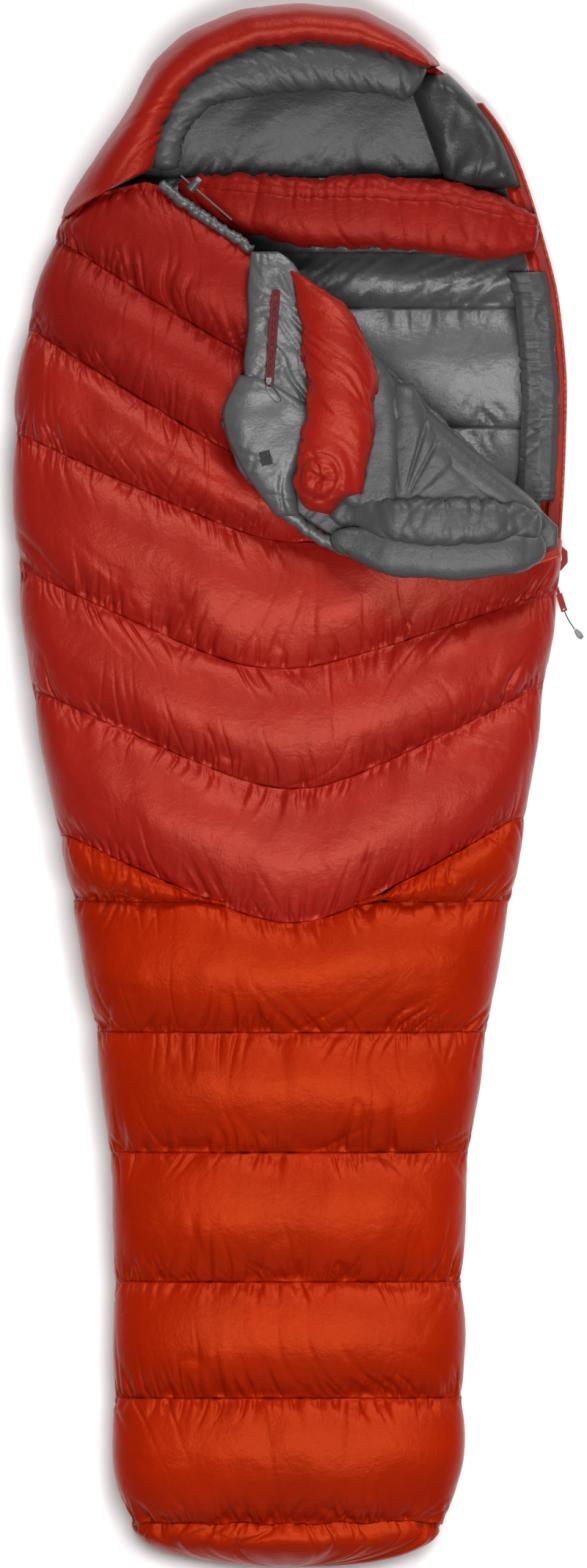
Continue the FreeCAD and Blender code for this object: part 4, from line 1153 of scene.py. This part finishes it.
def neck_binding():
    """The gathered grey edge from the cheek down the top quilt's neck edge to the fold."""
    line = edges["neck"]
    line = line[(line[:, 0] > -0.182) & (past_crest(line) < -0.004)]
    line = line[::max(1, len(line) // 14)]
    rows = [[x, y + 0.004, z + 0.003, 0.0085, 0.010] for x, y, z in line]
    roll_piece("neck_binding", np.array(rows), "lining_grey", "bag", "face_binding",
               SEEDS["neck_binding"], cell=FINE_CELL, ends=(0.004, 0.004), scale=0.5, swell=0.0)


# ---------------------------------------------------------------- the fold's crest
FOLD_LENGTH = 0.545     # of the fold, from the zip to the neck's edge


def crest_offset(step):
    """How far inside the fold line the crest's middle lies, along the fold."""
    share = np.clip(step / FOLD_LENGTH, 0, 1)
    return 0.014 + 0.028 * np.sin(np.pi * share)


def past_crest(points):
    """Distance of points past the crest's middle, towards the open mouth."""
    step = (points[..., 0] - FOLD_AT[0]) * FOLD_RUN[0] + (points[..., 1] - FOLD_AT[1]) * FOLD_RUN[1]
    return past_fold(points) + crest_offset(step)


def crest():
    """The roll along the fold, blended between the bag and the folded corner."""
    rows = []
    for step in np.linspace(0.004, FOLD_LENGTH - 0.02, 24):
        share = step / FOLD_LENGTH
        middle = FOLD_AT + FOLD_RUN * step - FOLD_OUT * crest_offset(step)
        size = math.sin(math.pi * min(max(share, 0.06), 0.94)) ** 0.6
        rows.append([middle[0], middle[1], 0.148, 0.012 + 0.020 * size, 0.020 + 0.019 * size])
    # the crest's lining side takes a darker copy of the grey lining, painted shade; its outward faces keep the red
    # shell
    item = roll_piece("fold_crest", np.array(rows), "lining_grey", "bag", None, SEEDS["crest"], scale=0.08,
                      squareness=2.2, girth=0.15, ends=(0.07, 0.05), look="lining_deep")
    item.data.materials.append(MATERIALS["shell_red"])
    way = Vector((FOLD_OUT[0], FOLD_OUT[1], 0.35))
    outside = [1 if p.normal.dot(way) < -0.40 else 0 for p in item.data.polygons]
    item.data.polygons.foreach_set("material_index", outside)
    item.parent = None
    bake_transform(item)


def flap_binding():
    """The rolled grey edge of the flap, which lies over its half of the zip."""
    corners = np.array([v.co for v in nodes["front_zip_coil"].data.vertices])
    place = corners[:, :2] @ np.array([0.9, -0.45])
    order = np.argsort(place)
    rows = []
    for mark in np.linspace(place.min() + 0.006, place.min() + 0.24, 18):
        x = np.interp(mark, place[order], corners[order, 0])
        y = np.interp(mark, place[order], corners[order, 1])
        rows.append([x + 0.002, y + 0.004, 0.161, 0.0105, 0.0105])
    roll_piece("flap_edge_binding", np.array(rows), "lining_grey", "front_flap", None,
               SEEDS["flap_binding"], cell=FINE_CELL, ends=(0.010, 0.010), scale=0.4, swell=0.0)


# ---------------------------------------------------------------- zips, ribbons and cords
def strip(name, line, half, thick, slot, body, node, wave=0.0):
    """A flat ribbon, or with a wave a row of coil teeth, along a line of points."""
    pitch = 0.002       # from one coil tooth to the next
    line = np.asarray(line, float)
    length = np.linalg.norm(np.diff(line, axis=0), axis=1).sum()
    count = int(length / (pitch / 4 if wave else 0.004)) + 2
    line = spline(line, count)
    corner = np.linspace(0, 2 * np.pi, 10, endpoint=False)
    cos, sin = oval(corner, 0.6)
    s = np.linspace(0, length, count)
    grow = 1 + wave * np.sin(2 * np.pi * s / pitch)
    across = np.array([1.0, 0, 0])
    up = np.array([0, 0, 1.0])
    rings = (line[:, None, :] + across * (half * cos)[None, :, None] * grow[:, None, None]
             + up * (thick / 2 * sin)[None, :, None] * grow[:, None, None])
    item = tube(name, rings, [slot])
    return place_piece(item, body, node)


def right_line(inset, z, low, high):
    """A line along the bag's zip side, in from its widest line."""
    ys = np.linspace(low, high, 60)
    mid, half, _ = outline(ys)
    return np.stack([mid + half - inset, ys, 0 * ys + z], -1)


def mouth_zip():
    """The back quilt's half of the open zip."""
    low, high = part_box("back_zip_tape")
    strip("open_zip_tape", right_line(0.0105, 0.0392, low.y, high.y), 0.0100, 0.0014,
          "zip_tape_red", "bag", "back_zip_tape")
    strip("open_zip_coil", right_line(0.0026, 0.0417, low.y, high.y), 0.0015, 0.0024,
          "zip_coil_red", "bag", "back_zip_coil", wave=0.22)


def pocket_zip():
    """The stash pocket's zip: a narrow tape with its coil, sewn down the panel."""
    low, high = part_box("pocket_zip")
    line = [(low.x + 0.0065, low.y + 0.002, 0.0), (low.x + 0.0120, (low.y + high.y) / 2 - 0.008, 0.0),
            (high.x - 0.0050, high.y - 0.018, 0.0)]
    tape = np.array(line) + np.array([0, 0, low.z + 0.0012])
    coil = np.array(line) + np.array([0, 0, high.z - 0.0004])
    strip("pocket_zip_tape", tape, 0.0062, 0.0016, "pocket_zip_red", "front_flap", "pocket_zip")
    strip("pocket_zip_coil", coil, 0.0017, 0.0018, "pocket_zip_red", "front_flap", None, wave=0.22)


def cord_curve(name, points, radius, slot, body, node):
    data = bpy.data.curves.new(name, "CURVE")
    data.dimensions = "3D"
    data.bevel_depth = radius
    data.bevel_resolution = 4
    data.use_fill_caps = True
    route = data.splines.new("NURBS")
    route.points.add(len(points) - 1)
    for point, place in zip(route.points, points):
        point.co = (*place, 1)
    route.order_u = 3
    route.use_endpoint_u = True
    route.resolution_u = 8
    data.materials.append(MATERIALS[slot])
    item = linked(name, data)
    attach(item, body)
    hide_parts(node)
    return item


def main_pull():
    """The pull's cord, from the tab's hole down to the moulded grip on the ground."""
    route = [(0.378, 0.238, 0.031), (0.382, 0.229, 0.022), (0.387, 0.221, 0.013), (0.3925, 0.213, 0.0075)]
    start = Vector(route[0]) + (Vector(route[1]) - Vector(route[0])).normalized() * 0.0016
    route[0] = tuple(start)
    item = cord_curve("pull_cord", route, 0.0009, "cord_dark", "main_pull", "main_pull_cord")


def pocket_pull():
    """The pocket slider's cord loop, out from the slider's bar and back to it."""
    route = [(-31.5, 548.8, 192.2), (-33.4, 545.4, 191.8), (-34.3, 541.0, 191.0), (-32.2, 535.5, 190.2),
             (-27.7, 529.7, 189.9), (-23.2, 524.9, 189.8), (-18.6, 521.2, 189.8), (-14.4, 521.8, 189.8),
             (-13.4, 526.2, 189.8), (-16.0, 532.0, 190.0), (-20.2, 538.2, 190.5), (-24.8, 543.6, 191.3),
             (-28.7, 548.8, 192.2)]
    route = [tuple(c / 1000 for c in place) for place in route]
    item = cord_curve("pocket_cord", route, 0.00065, "cord_dark", "pocket_pull", "pocket_pull_cord")


def drawcord():
    """The collar's drawcord, taut from the cheek to the neck collar, through its lock."""
    route = [(-0.151, 0.836, 0.100), (-0.1277, 0.8157, 0.100), (-0.1043, 0.7953, 0.100),
             (-0.081, 0.775, 0.100)]
    item = cord_curve("collar_cord", route, 0.0013, "cord_grey", "bag", "collar_drawcord")


# ---------------------------------------------------------------- the rolls sewn to the mouth
def near_start(rows):
    """1 at a roll's first row, fading to 0 over the next few."""
    return np.exp(-(np.arange(len(rows)) / 4.0) ** 2)


def back_collar():
    rows = read_roll("back_neck_collar", 0)
    rows[-1, 0] += 0.014
    rows[:, 1] += 0.007
    # the collar takes a darker copy of the red shell: painted shade
    roll_piece("back_collar", rows, "shell_red", "bag", "back_neck_collar", SEEDS["back_collar"],
               stitched=(0.64 * math.pi,), ends=(0.03, 0.006), scale=1.2, stretch=1.3, swell=0.004,
               squareness=2.6, look="shell_deep", wrinkles=((0.012, 0.6, 0.0018), (0.024, 1.0, 0.0028)))


def draft_tube():
    """The tube along the flap's zip, with its inner end lowered to run under the front collar."""
    rows = read_roll("flap_draft_tube", 0)
    rows[:, 1] -= 0.003
    rows[-1, 0] += 0.010
    rows[0, 0] -= 0.026
    rows[:, 4] *= 1 - 0.5 * near_start(rows)
    rows[:, 2] -= 0.008 * near_start(rows)
    # the tube takes a darker copy of the grey lining: painted shade under the flap
    roll_piece("draft_tube", rows, "lining_grey", "front_flap", "flap_draft_tube", SEEDS["draft_tube"],
               girth=0.3, look="lining_deep", ends=(0.022, 0.012), scale=1.2, stretch=1.45, swell=0.005,
               squareness=2.7, wrinkles=((0.013, 0.8, 0.0022), (0.027, -0.9, 0.0034)))


def edge_roll():
    rows = read_roll("flap_edge_roll", 0)
    rows[:, 1] -= 0.006
    rows[0, 0] -= 0.018
    # the roll takes a darker copy of the grey lining: painted shade under the flap
    roll_piece("edge_roll", rows, "lining_grey", "front_flap", "flap_edge_roll", SEEDS["edge_roll"],
               girth=0.5, look="lining_deep", ends=(0.022, 0.015), scale=0.5, stretch=2.0, swell=0.004,
               squareness=2.7)


def front_collar():
    """The flap's neck collar, with its foot end raised over the draft tube and drawn in."""
    rows = read_roll("front_neck_collar", 1)
    rows[0, 1] -= 0.008
    rows[:, 2] += 0.007 * near_start(rows)
    roll_piece("front_collar", rows, "shell_red", "front_flap", "front_neck_collar",
               SEEDS["front_collar"], ends=(0.040, 0.13), scale=1.2, stretch=1.28, swell=0.006,
               girth=1.5, wrinkles=((0.012, -0.8, 0.0024), (0.026, -1.2, 0.0040)),
               drawn=(0.038, 0.418, 0.030))


# ---------------------------------------------------------------- build
studio()
camera()
for number, piece in enumerate(TOP_RED + TOP_ORANGE):
    top_chamber(piece, SEEDS["top"] + CHAMBER_SEED_STEP * number)
for number, piece in enumerate(BACK):
    back_chamber(piece, SEEDS["back"] + CHAMBER_SEED_STEP * number)
foot_cap()
hood_crown()
hood_rim()
back_collar()
draft_tube()
edge_roll()
front_collar()
crest()
flap_cushions()
side_panel()
neck_binding()
flap_binding()
# the flap's upward faces, its lining side, take a darker copy of the grey lining: painted shade
softened("flap_shell", "shell_red", "front_flap", SEEDS["flap_shell"], folds=((45, 0.02, 0.003),),
         face_up="lining_deep")
# the zip facing takes a darker copy of the grey lining: painted shade
softened("zip_facing", "lining_grey", "bag", SEEDS["zip_facing"], voxel=0.002,
         folds=((0, 0.009, 0.0022), (8, 0.020, 0.0030)), shift=0.006, look="lining_deep")
softened("zip_garage", "zip_tape_red", "bag", SEEDS["zip_garage"], voxel=0.0012, passes=4)
mouth_zip()
pocket_zip()
main_pull()
pocket_pull()
drawcord()

slot_of = {row["node"]: row["material_slot"] for row in frame["record"]["subparts"]}
for node_name, node_object in nodes.items():
    node_object.data.materials.clear()
    node_object.data.materials.append(MATERIALS[slot_of[node_name]])
